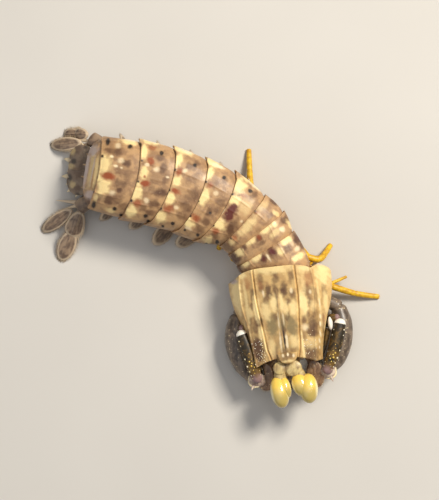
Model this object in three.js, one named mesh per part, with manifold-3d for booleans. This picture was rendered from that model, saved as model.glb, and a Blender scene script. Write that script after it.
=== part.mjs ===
// A mantis shrimp of the squillid family at life size, in millimetres, +Z up, on a floor at z = 0.
// The head faces -Y, the body bends towards the animal's right, and the tail fan bends down to the floor.
import * as THREE from "three";
import { mergeVertices } from "three/addons/utils/BufferGeometryUtils.js";
import Module from "manifold-3d";

const wasm = await Module();
wasm.setup();

// Driving dimensions
const GAP = 0.3; // clearance between neighbouring pieces
const MIDDLE = [0.32, 1.83]; // of the whole animal from above, which is moved to the origin
const CARAPACE_LENGTH = 25.8;
const HEAD_DROP = 3; // degrees that the head points down
const SPINE = 1.3; // length of the spine at the rear corner of each ring

// The rear edge of each body ring, from the neck to the tail. Its middle is followed by its turns: the way
// the tail lies from there seen from above, its pitch, and its roll (the left flank up). The sizes are half
// the width, the height of the back, the depth of the belly and how far the flanks sweep back.
const ringEdge = (name, at, [heading, pitch, roll], [half, back, belly, sweep]) => {
  return { name, at, heading, pitch, roll, half, back, belly, sweep };
};
const EDGES = [
  ringEdge("neck", [20.0, 2.1, 12.6], [97.3, 0, 12], [10.6, 5.6, 4.6, -2.2]),
  ringEdge("thorax_6", [16.6, 6.7, 12.8], [121.8, 2, 10], [10.2, 5.6, 4.6, 0]),
  ringEdge("thorax_7", [13.9, 11.5, 13.1], [128.2, 3, 9], [10.8, 5.7, 4.6, 0]),
  ringEdge("thorax_8", [10.0, 15.1, 13.5], [138.1, 4, 8], [10.4, 5.8, 4.5, 0.2]),
  ringEdge("abdomen_1", [3.5, 18.3, 14.1], [148.3, 5, 6], [12.3, 6.0, 4.4, 1.8]),
  ringEdge("abdomen_2", [-3.6, 21.8, 14.7], [155.3, 4, 5], [12.3, 6.1, 4.4, 2.0]),
  ringEdge("abdomen_3", [-12.2, 24.8, 15.2], [159.6, 2, 4], [12.5, 6.1, 4.4, 2.3]),
  ringEdge("abdomen_4", [-21.4, 27.0, 15.1], [165, -4, 4], [12.4, 6.0, 4.3, 2.2]),
  ringEdge("abdomen_5", [-31.6, 29.2, 13.6], [167.5, -18, 4], [10.9, 5.6, 4.0, 2.4]),
  ringEdge("abdomen_6", [-34.7, 30.0, 9.4], [169, -48, 3], [9.2, 3.9, 3.0, 0.6]),
];
const RINGS = EDGES.slice(1);
const TELSON = { length: 9.2, pitch: -45, half: 7.0, edge: 0.8, swell: 1.3, keel: 0.6 };

const UP = new THREE.Vector3(0, 0, 1);
const rad = THREE.MathUtils.degToRad;
const lerp = THREE.MathUtils.lerp;
const smooth = THREE.MathUtils.smoothstep;

function finish(colour, roughness) {
  return new THREE.MeshStandardMaterial({ color: colour, roughness, metalness: 0 });
}
const SHELL = finish(0xc9a676, 0.45);
const HEAD_SHELL = finish(0xc8a06a, 0.42);
const BELLY = finish(0xb99a74, 0.6);
const CORNEA = finish(0xd8c152, 0.25);
const CLAW = finish(0x4a3a22, 0.3);
const CLEAR_LIMB = finish(0x5d5148, 0.4);
const LEG = finish(0xc79412, 0.45);
const FIN = finish(0x6e5f52, 0.5);

// Solids

// A three.js geometry as a closed solid that faces out.
function solid(geometry) {
  const bare = geometry.clone();
  for (const name of ["normal", "uv"]) if (bare.getAttribute(name)) bare.deleteAttribute(name);
  const merged = mergeVertices(bare, 1e-4);
  const build = (triangles) =>
    new wasm.Manifold(
      new wasm.Mesh({
        numProp: 3,
        vertProperties: merged.attributes.position.array,
        triVerts: new Uint32Array(triangles),
      }),
    );
  const triangles = [...merged.index.array];
  const made = build(triangles);
  return made.volume() > 0 ? made : build(triangles.reverse());
}

// The largest closed body of the pieces joined.
function join(pieces) {
  const whole = pieces.slice(1).reduce((sum, piece) => sum.add(piece), pieces[0]);
  return largest(whole);
}

function largest(whole) {
  return whole.decompose().sort((a, b) => b.volume() - a.volume())[0];
}

// The geometry of a solid, as three.js draws it.
function surface(body) {
  const mesh = body.getMesh();
  const geometry = new THREE.BufferGeometry();
  geometry.setAttribute("position", new THREE.BufferAttribute(new Float32Array(mesh.vertProperties), 3));
  geometry.setIndex(new THREE.BufferAttribute(new Uint32Array(mesh.triVerts), 1));
  return geometry;
}

// A solid swollen by a distance along its vertex normals.
function grown(body, distance = 1.4 * GAP) {
  const geometry = surface(body);
  geometry.computeVertexNormals();
  const { position, normal } = geometry.attributes;
  const out = new Float32Array(position.array.length);
  for (let i = 0; i < out.length; i++) out[i] = position.array[i] + distance * normal.array[i];
  geometry.setAttribute("position", new THREE.BufferAttribute(out, 3));
  return solid(geometry);
}

// A skin over a row of rings with alike point counts, closed by a fan at each end.
function loft(rings, startTip, endTip) {
  const count = rings[0].length;
  const points = rings.flat();
  const index = [];
  for (let i = 0; i < rings.length - 1; i++) {
    for (let j = 0; j < count; j++) {
      const a = i * count + j;
      const b = i * count + ((j + 1) % count);
      index.push(a, b, b + count, a, b + count, a + count);
    }
  }
  for (const [ring, tip, first] of [
    [rings[0], startTip, true],
    [rings.at(-1), endTip, false],
  ]) {
    const middle = ring.reduce((sum, p) => sum.add(p), new THREE.Vector3()).divideScalar(count);
    const base = first ? 0 : (rings.length - 1) * count;
    const apex = points.push(tip ?? middle) - 1;
    for (let j = 0; j < count; j++) {
      const a = base + j;
      const b = base + ((j + 1) % count);
      index.push(...(first ? [apex, b, a] : [apex, a, b]));
    }
  }
  const geometry = new THREE.BufferGeometry().setFromPoints(points);
  geometry.setIndex(index);
  return solid(geometry);
}

// A tube of oval section through points, with round ends. Sizes are [half width, half height] at each
// point, and the height is measured along up as far as the path allows.
function limb(points, sizes, { up = UP, sides = 6, steps = 1, round = 0.7, bluff = false } = {}) {
  const curve = new THREE.CatmullRomCurve3(points, false, "centripetal");
  const spans = points.length - 1;
  const total = spans * steps;
  const stations = Array.from({ length: total + 1 }, (_, k) => k / total);
  const rings = [];
  const ringAt = (u, scale, shift) => {
    const along = curve.getTangent(u);
    const side = new THREE.Vector3().crossVectors(up, along).normalize();
    const rise = new THREE.Vector3().crossVectors(along, side).normalize();
    const span = Math.min(Math.floor(u * spans), spans - 1);
    const share = u * spans - span;
    const [wide, high] = [0, 1].map((k) => scale * lerp(sizes[span][k], sizes[span + 1][k], share));
    const middle = curve.getPoint(u).addScaledVector(along, shift);
    return Array.from({ length: sides }, (_, j) => {
      const angle = (2 * Math.PI * j) / sides;
      return middle
        .clone()
        .addScaledVector(side, wide * Math.cos(angle))
        .addScaledVector(rise, high * Math.sin(angle));
    });
  };
  const reach = (size) => round * Math.min(...size);
  const first = reach(sizes[0]);
  const last = reach(sizes.at(-1));
  for (const u of stations) rings.push(ringAt(u, 1, 0));
  if (bluff) rings.push(ringAt(1, 0.72, 0.7 * last));
  const startTip = curve.getPoint(0).addScaledVector(curve.getTangent(0), -first);
  const endTip = curve.getPoint(1).addScaledVector(curve.getTangent(1), last);
  return loft(rings, startTip, endTip);
}

// A sharp cone from a base to a tip.
function spike(base, tip, radius, sides = 4) {
  const along = tip.clone().sub(base).normalize();
  const helper = Math.abs(along.z) < 0.9 ? UP : new THREE.Vector3(1, 0, 0);
  const side = new THREE.Vector3().crossVectors(helper, along).normalize();
  const rise = new THREE.Vector3().crossVectors(along, side);
  const ring = Array.from({ length: sides }, (_, j) => {
    const angle = (2 * Math.PI * j) / sides;
    return base
      .clone()
      .addScaledVector(side, radius * Math.cos(angle))
      .addScaledVector(rise, radius * Math.sin(angle));
  });
  const geometry = new THREE.BufferGeometry().setFromPoints([...ring, base, tip]);
  geometry.setIndex(
    ring.flatMap((_, j) => [sides, (j + 1) % sides, j, sides + 1, j, (j + 1) % sides]),
  );
  return solid(geometry);
}

// An ellipsoid with its half axes along a frame's across, along and up.
function ball(frame, centre, half, segments = [10, 6]) {
  const geometry = new THREE.SphereGeometry(1, ...segments);
  const basis = new THREE.Matrix4().makeBasis(frame.across, frame.along, frame.up);
  geometry.scale(...half).applyMatrix4(basis);
  geometry.translate(centre.x, centre.y, centre.z);
  return solid(geometry);
}

// A thin plate in a frame: an outline of [across, along] points about a middle, swollen towards the
// middle, triangulated alike on both faces, with bend(across, along) lifting both faces together.
function leaf(frame, outline, middle, { edge, swell, under = 0.4 * swell, bend = () => 0, rings = 1 }) {
  const count = outline.length;
  const at = (share, k) => outline[k].map((value, axis) => lerp(middle[axis], value, share));
  const face = (sign, amount) => {
    const rows = [[point(frame, ...middle, bend(...middle) + sign * (edge / 2 + amount))]];
    for (let r = 1; r <= rings; r++) {
      const share = r / rings;
      rows.push(
        outline.map((_, k) => {
          const [a, b] = at(share, k);
          return point(frame, a, b, bend(a, b) + sign * (edge / 2 + amount * (1 - share * share)));
        }),
      );
    }
    return rows;
  };
  const top = face(1, swell);
  const bottom = face(-1, under);
  const rows = [...top.slice(1), ...bottom.slice(1).reverse()];
  return loft(rows, top[0][0], bottom[0][0]);
}

// An outline of an oval leaf that is widest at a share of its length: [across, along] points.
function oval(half, length, count = 10, widest = 0.55, start = 0) {
  return Array.from({ length: count }, (_, k) => {
    const angle = (2 * Math.PI * k) / count - Math.PI / 2;
    const share = 0.5 + 0.5 * Math.sin(angle);
    const along = share < 0.5 ? 2 * share * widest : widest + 2 * (share - 0.5) * (1 - widest);
    return [half * Math.cos(angle), start + length * along];
  });
}

// Frames

function makeFrame(origin, heading, pitch, roll = 0) {
  const [h, p, r] = [rad(heading), rad(pitch), rad(roll)];
  const along = new THREE.Vector3(Math.cos(h) * Math.cos(p), Math.sin(h) * Math.cos(p), Math.sin(p));
  const level = new THREE.Vector3(Math.sin(h), -Math.cos(h), 0);
  const rise = new THREE.Vector3().crossVectors(level, along);
  const across = level.multiplyScalar(Math.cos(r)).addScaledVector(rise, Math.sin(r));
  return { origin, along, across, up: new THREE.Vector3().crossVectors(across, along) };
}

// A point at distances across (to the animal's left), along (towards the tail) and up in a frame.
function point(frame, across, along, up = 0) {
  return frame.origin
    .clone()
    .addScaledVector(frame.across, across)
    .addScaledVector(frame.along, along)
    .addScaledVector(frame.up, up);
}

// A frame turned about its own origin so that its along points at a target, with up kept near a hint.
function aimed(origin, target, hint) {
  const along = target.clone().sub(origin).normalize();
  const across = new THREE.Vector3().crossVectors(along, hint).normalize();
  return { origin, along, across, up: new THREE.Vector3().crossVectors(across, along) };
}

// The body's frame and sizes at a share of the way along one ring.
const SIZES = ["heading", "pitch", "roll", "half", "back", "belly", "sweep"];
const MIDDLES = new THREE.CatmullRomCurve3(
  EDGES.map(({ at }) => new THREE.Vector3(...at)),
  false,
  "centripetal",
);

function bodyAt(index, share) {
  const between = (key) => lerp(EDGES[index][key], EDGES[index + 1][key], share);
  const mix = Object.fromEntries(SIZES.map((key) => [key, between(key)]));
  const middle = MIDDLES.getPoint((index + share) / RINGS.length);
  return { ...makeFrame(middle, mix.heading, mix.pitch, mix.roll), ...mix };
}

const neck = EDGES[0];
const head = makeFrame(new THREE.Vector3(...neck.at), neck.heading, HEAD_DROP, neck.roll);

// A point in the head's own terms: forward of the carapace's rear edge, to the animal's left and up.
function headPoint(forward, side, up) {
  return point(head, side, -forward, up);
}

const path = (rows) => rows.map((row) => new THREE.Vector3(...row));
const SIDES = { left: 1, right: -1 };

// Body rings

// Stations across the back as shares of the half width, with a ridge at each of KEELS.
const KEELS = [0.5, 0.92];
const ACROSS = [0, 0.22, 0.44, 0.5, 0.56, 0.74, 0.87, 0.92, 0.965, 1];
const KEEL_HEIGHT = 0.25;

// The outline of the body at a frame: over the back, round the edge of each flank and under the belly.
function bodySection(at, { scale = 1, spine = 0, keels = KEEL_HEIGHT } = {}) {
  const half = at.half * scale;
  const backward = (share) => at.sweep * share * share;
  const rear = (share) => backward(share) + (share === 1 ? 0.5 * spine : 0);
  const backHeight = (share) => {
    const ridge = KEELS.some((keel) => Math.abs(keel - share) < 1e-6) ? keels : 0;
    return at.back * scale * Math.pow(Math.max(0, 1 - Math.pow(share, 2.7)), 0.56) + ridge;
  };
  const edge = [
    [1.0, -1.0, 0.3],
    [0.98, -2.5, 1],
    [0.86, -1.9, 0],
    [0.62, -0.78 * at.belly, 0],
    [0.3, -at.belly, 0],
  ];
  const side = (sign) => [
    ...ACROSS.map((share) => point(at, sign * share * half, rear(share), backHeight(share))),
    ...edge.map(([share, up, reach]) =>
      point(at, sign * (share * half + 0.3 * reach * spine), backward(share) + reach * spine, up),
    ),
  ];
  const left = side(1);
  const right = side(-1);
  return [...left, point(at, 0, 0, -at.belly), ...right.slice(1).reverse()];
}

function bodyRing(index) {
  const { name } = RINGS[index];
  const length = bodyAt(index, 1).origin.distanceTo(bodyAt(index, 0).origin);
  const spine = name.startsWith("abdomen") && name !== "abdomen_6" ? SPINE : 0.3;
  const stations = [
    [GAP / length, { scale: 0.93, keels: 0 }],
    [0.2, { scale: 0.97, keels: 0.6 * KEEL_HEIGHT }],
    [0.62, {}],
    [1, { spine }],
  ];
  const ring = loft(stations.map(([share, options]) => bodySection(bodyAt(index, share), options)));
  return name === "abdomen_6" ? join([ring, ...tailSpines()]) : ring;
}

// The six spines at the rear edge of the last ring, where its ridges end.
function tailSpines() {
  const rear = bodyAt(RINGS.length - 1, 1);
  const rows = [
    [0.2, 3.7],
    [0.55, 3.0],
    [0.88, 1.4],
  ];
  return rows.flatMap(([share, up]) =>
    [1, -1].map((side) => {
      const across = side * share * rear.half;
      return spike(point(rear, across, -1.4, up - 0.3), point(rear, across, 1.5, up + 0.1), 0.7);
    }),
  );
}

// Carapace

const GROOVE = 0.35; // depth of the two grooves that divide the shield

// Half widths and heights of the shield at a distance forward of its rear edge.
function shieldAt(forward) {
  const u = forward / CARAPACE_LENGTH;
  const middle = lerp(6.4, 5.0, smooth(u, 0.3, 1)) - 0.7 * smooth(u, 0.86, 1);
  const margin = 11.2 + 0.5 * Math.sin(Math.PI * Math.min(1, u * 1.6)) - 1.8 * smooth(u, 0.4, 1.05);
  const flap = lerp(15.8, margin + 0.9, smooth(u, 0.2, 0.98));
  const lobe = Math.sqrt(smooth(u, -0.03, 0.14));
  return {
    middle,
    margin,
    flap: lerp(margin + 0.5, flap, lobe),
    crown: lerp(6.4, 5.2, u * u),
    shoulder: lerp(4.5, 3.9, u),
    hem: lerp(1.5, lerp(-2.9, -1.3, u), lobe),
  };
}

// How far forward the rear edge of the shield lies at a distance from the middle: the left flap bulges
// back past the corner of the shield and the right one hangs down beside it.
const FLAP_LEAD = { left: -0.9, right: 0.9 };

function rearCorner(across, side, { margin, flap }) {
  const inner = Math.min(1, across / margin);
  const outer = Math.min(1, Math.max(0, (across - margin) / Math.max(1, flap - margin)));
  return 1.7 * Math.pow(inner, 4) + (side > 0 ? FLAP_LEAD.left : FLAP_LEAD.right) * outer;
}

function carapaceSection(forward) {
  const s = shieldAt(forward);
  const u = forward / CARAPACE_LENGTH;
  const lead = (across, side) => {
    const share = Math.min(1, across / s.margin);
    const rear = rearCorner(across, side, s) * (1 - smooth(u, 0, 0.2));
    return 3.6 * share * share * smooth(u, 0.6, 1) + rear;
  };
  const arch = (across) => lerp(s.crown, s.shoulder, Math.pow(across / s.margin, 2.2));
  const top = [
    [0, s.crown],
    [0.5 * s.middle, arch(0.5 * s.middle)],
    [s.middle - 0.35, arch(s.middle - 0.35)],
    [s.middle, arch(s.middle) - GROOVE],
    [s.middle + 0.35, arch(s.middle + 0.35)],
    [lerp(s.middle, s.margin, 0.55), arch(lerp(s.middle, s.margin, 0.55))],
    [s.margin - 0.5, arch(s.margin - 0.5) - 0.1],
    [s.margin, s.shoulder + 0.15],
    [lerp(s.margin, s.flap, 0.35), lerp(s.shoulder, s.hem, 0.28)],
    [lerp(s.margin, s.flap, 0.8), lerp(s.shoulder, s.hem, 0.62)],
    [s.flap, lerp(s.shoulder, s.hem, 0.9)],
    [s.flap - 0.5, s.hem],
    [s.margin - 2.2, Math.min(-1.2, s.hem)],
  ];
  const side = (sign) =>
    top.map(([across, up]) => headPoint(forward + lead(across, sign), sign * across, up));
  return [...side(1), headPoint(forward, 0, -1.4), ...side(-1).slice(1).reverse()];
}

function carapace() {
  const shares = [0, 0.05, 0.14, 0.3, 0.5, 0.7, 0.88, 1];
  const front = headPoint(CARAPACE_LENGTH - 0.4, 0, 1.4);
  return loft(shares.map((u) => carapaceSection(u * CARAPACE_LENGTH)), undefined, front);
}

// The front of the thorax and the mouth, under the carapace.
function thoraxCore() {
  const stations = [
    [0.4, 8.4, 4.6],
    [7, 8.6, 5.0],
    [15, 8.0, 5.4],
    [22, 6.8, 5.4],
    [27, 5.0, 4.8],
  ];
  const shares = [
    [0, -1.8 - GAP],
    [0.9, -1.8 - GAP],
    [1, -2.8],
    [0.8, -0.85],
    [0.4, -1],
  ];
  const rings = stations.map(([forward, half, depth]) => {
    const drop = ([, up], k) => (k > 2 ? up * (depth + 0.6) : up);
    const side = (sign) =>
      shares.map((row, k) => headPoint(forward, sign * row[0] * half, drop(row, k)));
    return [...side(1), headPoint(forward, 0, -depth - 0.7), ...side(-1).slice(1).reverse()];
  });
  const lip = ball(head, headPoint(24.5, 0, -5.6), [2.3, 2.6, 1.7], [8, 5]);
  return join([loft(rings), lip]);
}

function rostralPlate() {
  const root = headPoint(CARAPACE_LENGTH + GAP, 0.9, 4.9);
  const frame = { ...head, origin: root, along: head.along.clone().negate() };
  const outline = [
    [-2.9, 0],
    [-2.6, 1.5],
    [-1.7, 2.6],
    [0, 3.0],
    [1.7, 2.6],
    [2.6, 1.5],
    [2.9, 0],
    [0, -0.02],
  ];
  return leaf(frame, outline, [0, 1.3], { edge: 0.7, swell: 0.35 });
}

// The two small rings that carry the eyes and the antennules.
function eyeSomite() {
  const front = ball(head, headPoint(30.6, 0, 1.8), [2.9, 2.9, 2.1], [10, 6]);
  const rear = ball(head, headPoint(28.2, 0, 0.4), [3.6, 2.6, 2.6], [10, 6]);
  return join([front, rear]);
}

// Eyes: each cornea is two lobes side by side on a broad stalk. Turn is the heading of its long axis,
// and roll lifts its outer lobe.
const EYES = {
  left: {
    side: 1,
    middle: [28.6, -35.2, 13.6],
    turn: 103,
    roll: -8,
    stalk: [
      [25.1, -28.2, 13.8],
      [26.6, -30.6, 14.2],
      [28.2, -33.2, 13.7],
    ],
  },
  right: {
    side: -1,
    middle: [21.1, -36.0, 13.2],
    turn: 103,
    roll: -48,
    stalk: [
      [21.9, -28.6, 13.4],
      [21.0, -30.8, 13.8],
      [20.8, -33.2, 13.4],
    ],
  },
};
const LOBES = {
  outer: { half: [2.3, 4.35, 2.7], shift: [1.15, 0.2, 0] },
  inner: { half: [2.0, 3.5, 2.4], shift: [-1.5, 0.8, -0.1] },
};

function cornea({ side, middle, turn, roll }) {
  const frame = makeFrame(new THREE.Vector3(...middle), turn, -6, side * roll);
  const lobes = Object.values(LOBES).map(({ half, shift: [a, b, c] }) =>
    ball(frame, point(frame, side * a, b, c), half, [12, 7]),
  );
  return join(lobes);
}

function eyeStalk({ stalk }) {
  const sizes = [
    [1.5, 1.3],
    [1.9, 1.5],
    [2.2, 1.9],
  ];
  return limb(path(stalk), sizes, { sides: 8 });
}

// Antennules: a jointed stem between the eyes with three short whips, held down under the eyes.
function antennule(side) {
  const reach = (rows) => rows.map(([f, a, u]) => headPoint(f, side * a, u));
  const stem = limb(
    reach([
      [31.2, 1.0, 0.2],
      [33.8, 1.0, -1.6],
      [36.2, 1.1, -3.4],
    ]),
    [
      [0.85, 0.95],
      [0.75, 0.85],
      [0.65, 0.7],
    ],
  );
  const whips = [-1, 0, 1].map((k) =>
    limb(
      reach([
        [35.8, 1.0 + 0.2 * k, -3.1],
        [38.0, 1.6 + 1.0 * k, -5.6],
        [37.8, 2.4 + 1.9 * k, -8.4],
        [35.6, 3.2 + 2.6 * k, -10.4],
      ]),
      [
        [0.4, 0.4],
        [0.33, 0.33],
        [0.3, 0.3],
        [0.26, 0.26],
      ],
      { sides: 5 },
    ),
  );
  return join([stem, ...whips]);
}

// Antennae: a thick base below the eye, a broad oval scale beside it and a long whip under the claw.
const ANTENNAE = {
  left: {
    side: 1,
    scale: [
      [30.9, -26.4, 11.4],
      [32.2, -34.6, 9.8],
    ],
  },
  right: {
    side: -1,
    scale: [
      [16.6, -27.4, 8.8],
      [17.0, -35.6, 7.7],
    ],
  },
};

function antenna({ side, scale }) {
  const reach = (rows) => rows.map(([f, a, u]) => headPoint(f, side * a, u));
  const base = limb(
    reach([
      [25.6, 4.8, -2.3],
      [28.6, 6.2, -3.0],
      [31.0, 6.2, -3.8],
    ]),
    [
      [1.7, 1.6],
      [1.9, 1.7],
      [1.3, 1.2],
    ],
  );
  const [root, tip] = path(scale);
  const frame = aimed(root, tip, head.up);
  const blade = leaf(frame, oval(2.5, root.distanceTo(tip), 10, 0.6), [0, 0.5 * root.distanceTo(tip)], {
    edge: 0.6,
    swell: 0.3,
  });
  const stem = limb([headPoint(28.6, side * 6.2, -2.6), point(frame, 0, 2.4)], [
    [1.2, 1.2],
    [0.9, 0.8],
  ]);
  const whip = limb(
    reach([
      [30.8, 6.2, -4.2],
      [34.6, 7.8, -7.6],
      [33.0, 10.4, -10.2],
      [27.0, 11.0, -10.9],
    ]),
    [
      [0.6, 0.6],
      [0.42, 0.42],
      [0.34, 0.34],
      [0.27, 0.27],
    ],
    { sides: 5, steps: 2 },
  );
  return join([base, stem, blade, whip]);
}

// Raptorial claws, folded along the flanks: where each piece runs, from its root to its far end.
const CLAWS = {
  left: {
    side: 1,
    ischium: [
      [29.4, -9.4, 8.4],
      [34.6, -8.6, 6.2],
      [38.2, -10.2, 5.9],
    ],
    merus: [
      [38.9, -11.4, 5.9],
      [39.6, -15.4, 6.0],
      [39.4, -21.2, 6.1],
      [37.9, -26.2, 6.3],
      [36.6, -28.6, 6.6],
    ],
    carpus: [35.6, -30.0, 9.0],
    propodus: [
      [35.3, -29.2, 12.0],
      [36.9, -24.8, 12.4],
      [38.3, -19.4, 12.4],
      [39.0, -15.6, 12.2],
    ],
    heel: [
      [38.2, -13.6, 11.6],
      [36.2, -14.0, 11.0],
      [35.4, -16.4, 10.4],
    ],
    finger: [
      [35.5, -15.8, 10.4],
      [35.0, -19.6, 10.2],
      [33.8, -24.4, 10.2],
      [32.6, -28.6, 10.8],
    ],
  },
  right: {
    side: -1,
    ischium: [
      [15.8, -9.8, 5.6],
      [11.6, -11.4, 4.6],
      [8.6, -13.0, 4.6],
    ],
    merus: [
      [8.2, -14.2, 4.7],
      [7.8, -17.6, 4.8],
      [8.0, -22.4, 4.9],
      [9.9, -28.0, 5.2],
      [12.0, -31.2, 5.5],
    ],
    carpus: [13.9, -32.6, 7.4],
    propodus: [
      [14.1, -31.9, 10.4],
      [12.5, -27.4, 11.0],
      [10.9, -22.4, 11.0],
      [9.6, -19.0, 10.8],
    ],
    heel: [
      [9.4, -16.9, 10.2],
      [11.4, -16.9, 9.6],
      [12.4, -19.2, 9.0],
    ],
    finger: [
      [12.3, -18.8, 9.0],
      [13.6, -22.6, 8.8],
      [15.0, -27.2, 8.8],
      [16.2, -31.0, 9.2],
    ],
  },
};

function ischium({ ischium: rows }) {
  const sizes = [
    [2.0, 1.9],
    [1.8, 1.8],
    [2.1, 2.1],
  ];
  return limb(path(rows), sizes, { sides: 8 });
}

function merus({ merus: rows }) {
  const sizes = [
    [2.4, 2.6],
    [3.2, 3.2],
    [3.3, 3.3],
    [2.8, 2.9],
    [1.9, 2.0],
  ];
  return limb(path(rows), sizes, { sides: 10, round: 0.75, bluff: true });
}

function carpus({ side, carpus: [x, y, z] }) {
  const middle = new THREE.Vector3(x, y, z);
  const offset = (a, b, c) => middle.clone().add(new THREE.Vector3(a * side, b, c));
  const block = ball(head, middle, [2.7, 2.3, 3.0], [10, 6]);
  const tooth = spike(offset(0.6, -0.8, 1.6), offset(1.4, -3.0, 2.7), 0.7);
  return join([block, tooth]);
}

function propodus({ side, propodus: rows }) {
  const points = path(rows);
  const sizes = [
    [1.5, 1.5],
    [1.9, 1.7],
    [1.95, 1.75],
    [1.7, 1.6],
  ];
  const hand = limb(points, sizes, { sides: 10, round: 0.9, bluff: true });
  const curve = new THREE.CatmullRomCurve3(points);
  const comb = Array.from({ length: 7 }, (_, k) => {
    const share = lerp(0.2, 0.86, k / 6);
    const inward = new THREE.Vector3().crossVectors(curve.getTangent(share), head.up).setLength(-side);
    const base = curve.getPoint(share).addScaledVector(inward, 1.3).addScaledVector(head.up, -0.4);
    return spike(base, base.clone().addScaledVector(inward, 1.1).addScaledVector(head.up, -0.5), 0.42);
  });
  return join([hand, ...comb]);
}

// The finger: hinged at the propodus's far end and folded forward on its inner side, with long teeth.
function dactylus({ side, heel, finger }) {
  const elbow = limb(
    path(heel),
    [
      [1.0, 1.1],
      [1.15, 1.25],
      [0.95, 0.95],
    ],
    { sides: 6 },
  );
  const blade = limb(
    path(finger),
    [
      [0.9, 0.9],
      [0.75, 0.8],
      [0.6, 0.65],
      [0.3, 0.3],
    ],
    { sides: 6 },
  );
  const curve = new THREE.CatmullRomCurve3(path(finger));
  const teeth = Array.from({ length: 6 }, (_, k) => {
    const share = lerp(0.06, 0.86, k / 5);
    const reach = lerp(0.9, 1.7, k / 5);
    const base = curve.getPoint(share);
    const tip = base
      .clone()
      .addScaledVector(head.across, 0.5 * side * reach)
      .addScaledVector(head.up, -0.8 * reach)
      .addScaledVector(curve.getTangent(share), 0.9);
    return spike(base, tip, 0.42);
  });
  return join([elbow, blade, ...teeth]);
}

// Maxillipeds 3 to 5: slender arms folded under the mouth, each with a round flat hand.
function maxilliped(number, side) {
  const k = number - 3;
  const root = 21.6 - 3.3 * k;
  const out = 3.2 + 1.2 * k;
  const arm = limb(
    [
      [root, out, -4.9],
      [root - 1.6, out + 2.6, -8.6],
      [root + 3.0, out + 2.0, -10.6],
      [root + 5.0, out, -9.8],
    ].map(([f, a, u]) => headPoint(f, side * a, u)),
    [
      [0.9, 0.9],
      [0.75, 0.8],
      [0.8, 0.8],
      [0.7, 0.7],
    ],
    { sides: 6 },
  );
  const at = (forward, across, up) => headPoint(root + forward, side * (out - across), up);
  const frame = aimed(at(4.6, 0, -9.9), at(8.4, 1.0, -8.0), head.across);
  const hand = leaf(frame, oval(1.5, 3.8, 8, 0.5), [0, 1.9], { edge: 0.7, swell: 0.5 });
  const finger = spike(at(7.8, 0.9, -8.3), at(6.2, 1.0, -6.4), 0.4);
  return join([arm, hand, finger]);
}

// Walking legs: a stout base, a bent stem with a blunt flat foot, and a slender side branch.
const FOOT_SINK = 0.4; // the feet are modelled this far into the floor and then trimmed flat
const LEGS = {
  left_1: {
    ring: 0,
    side: 1,
    knee: [32.0, -3.0, 6.4],
    shin: [37.4, -4.6, 4.8],
    ankle: [43.8, -6.5, 2.6],
    foot: [50.8, -7.5, 0.2],
    branch: [41.0, -1.5, 3.6],
  },
  left_2: {
    ring: 1,
    side: 1,
    knee: [29.6, 4.4, 5.4],
    shin: [33.0, 3.9, 4.4],
    ankle: [34.9, 5.9, 2.4],
    foot: [36.4, 8.1, 0.2],
    branch: [28.6, 0.8, 3.4],
  },
  left_3: {
    ring: 2,
    side: 1,
    knee: [14.4, 20.6, 6.0],
    shin: [12.4, 25.4, 4.8],
    ankle: [11.9, 31.0, 2.6],
    foot: [11.7, 36.8, 0.2],
    branch: [11.0, 21.6, 3.2],
  },
  right_1: {
    ring: 0,
    side: -1,
    knee: [11.6, 1.4, 5.4],
    shin: [11.2, 0.4, 3.6],
    ankle: [11.0, -0.4, 1.9],
    foot: [10.8, -1.2, 0.2],
    branch: [13.8, -1.2, 3.0],
  },
  right_2: {
    ring: 1,
    side: -1,
    knee: [8.8, 6.6, 5.4],
    shin: [7.8, 5.4, 3.8],
    ankle: [7.2, 4.4, 1.9],
    foot: [6.8, 3.6, 0.2],
    branch: [9.8, 3.4, 3.0],
  },
  right_3: {
    ring: 2,
    side: -1,
    knee: [4.6, 10.4, 5.4],
    shin: [3.6, 8.8, 3.8],
    ankle: [3.0, 7.8, 1.9],
    foot: [2.6, 7.0, 0.2],
    branch: [6.0, 7.4, 3.0],
  },
};

function leg({ ring, side, knee, shin, ankle, foot, branch }) {
  const at = bodyAt(ring, 0.55);
  const root = point(at, side * 5.6, 0, -3.2);
  const under = point(at, side * 6.2, 0, -5.6);
  const bend = new THREE.Vector3(...knee);
  const stem = limb(
    [root, under, bend],
    [
      [1.5, 1.5],
      [1.3, 1.4],
      [0.95, 1.05],
    ],
    { up: at.along },
  );
  const shank = limb(
    [bend, ...[shin, ankle, foot].map((p) => new THREE.Vector3(...p))],
    [
      [0.85, 1.0],
      [0.8, 1.0],
      [0.75, 0.85],
      [0.7, 0.55],
    ],
    { steps: 2 },
  );
  const twigEnd = new THREE.Vector3(...branch);
  const twigRoot = bend.clone().lerp(new THREE.Vector3(...shin), 0.6);
  const twigMiddle = twigRoot.clone().lerp(twigEnd, 0.5).addScaledVector(UP, 0.4);
  const twig = limb(
    [twigRoot, twigMiddle, twigEnd],
    [
      [0.55, 0.5],
      [0.5, 0.45],
      [0.42, 0.38],
    ],
    { sides: 5 },
  );
  return join([stem, shank, twig]);
}

// Pleopods: a short stalk under each side of a ring with an outer and an inner paddle and a gill tuft.
// Spread swings an outer paddle out past the flank.
const PLEOPOD_SPREAD = { left: [0.1, 0.1, 0.1, 0.1, 0.1], right: [0.1, 0.75, 1.1, 0.55, 0.35] };

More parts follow.
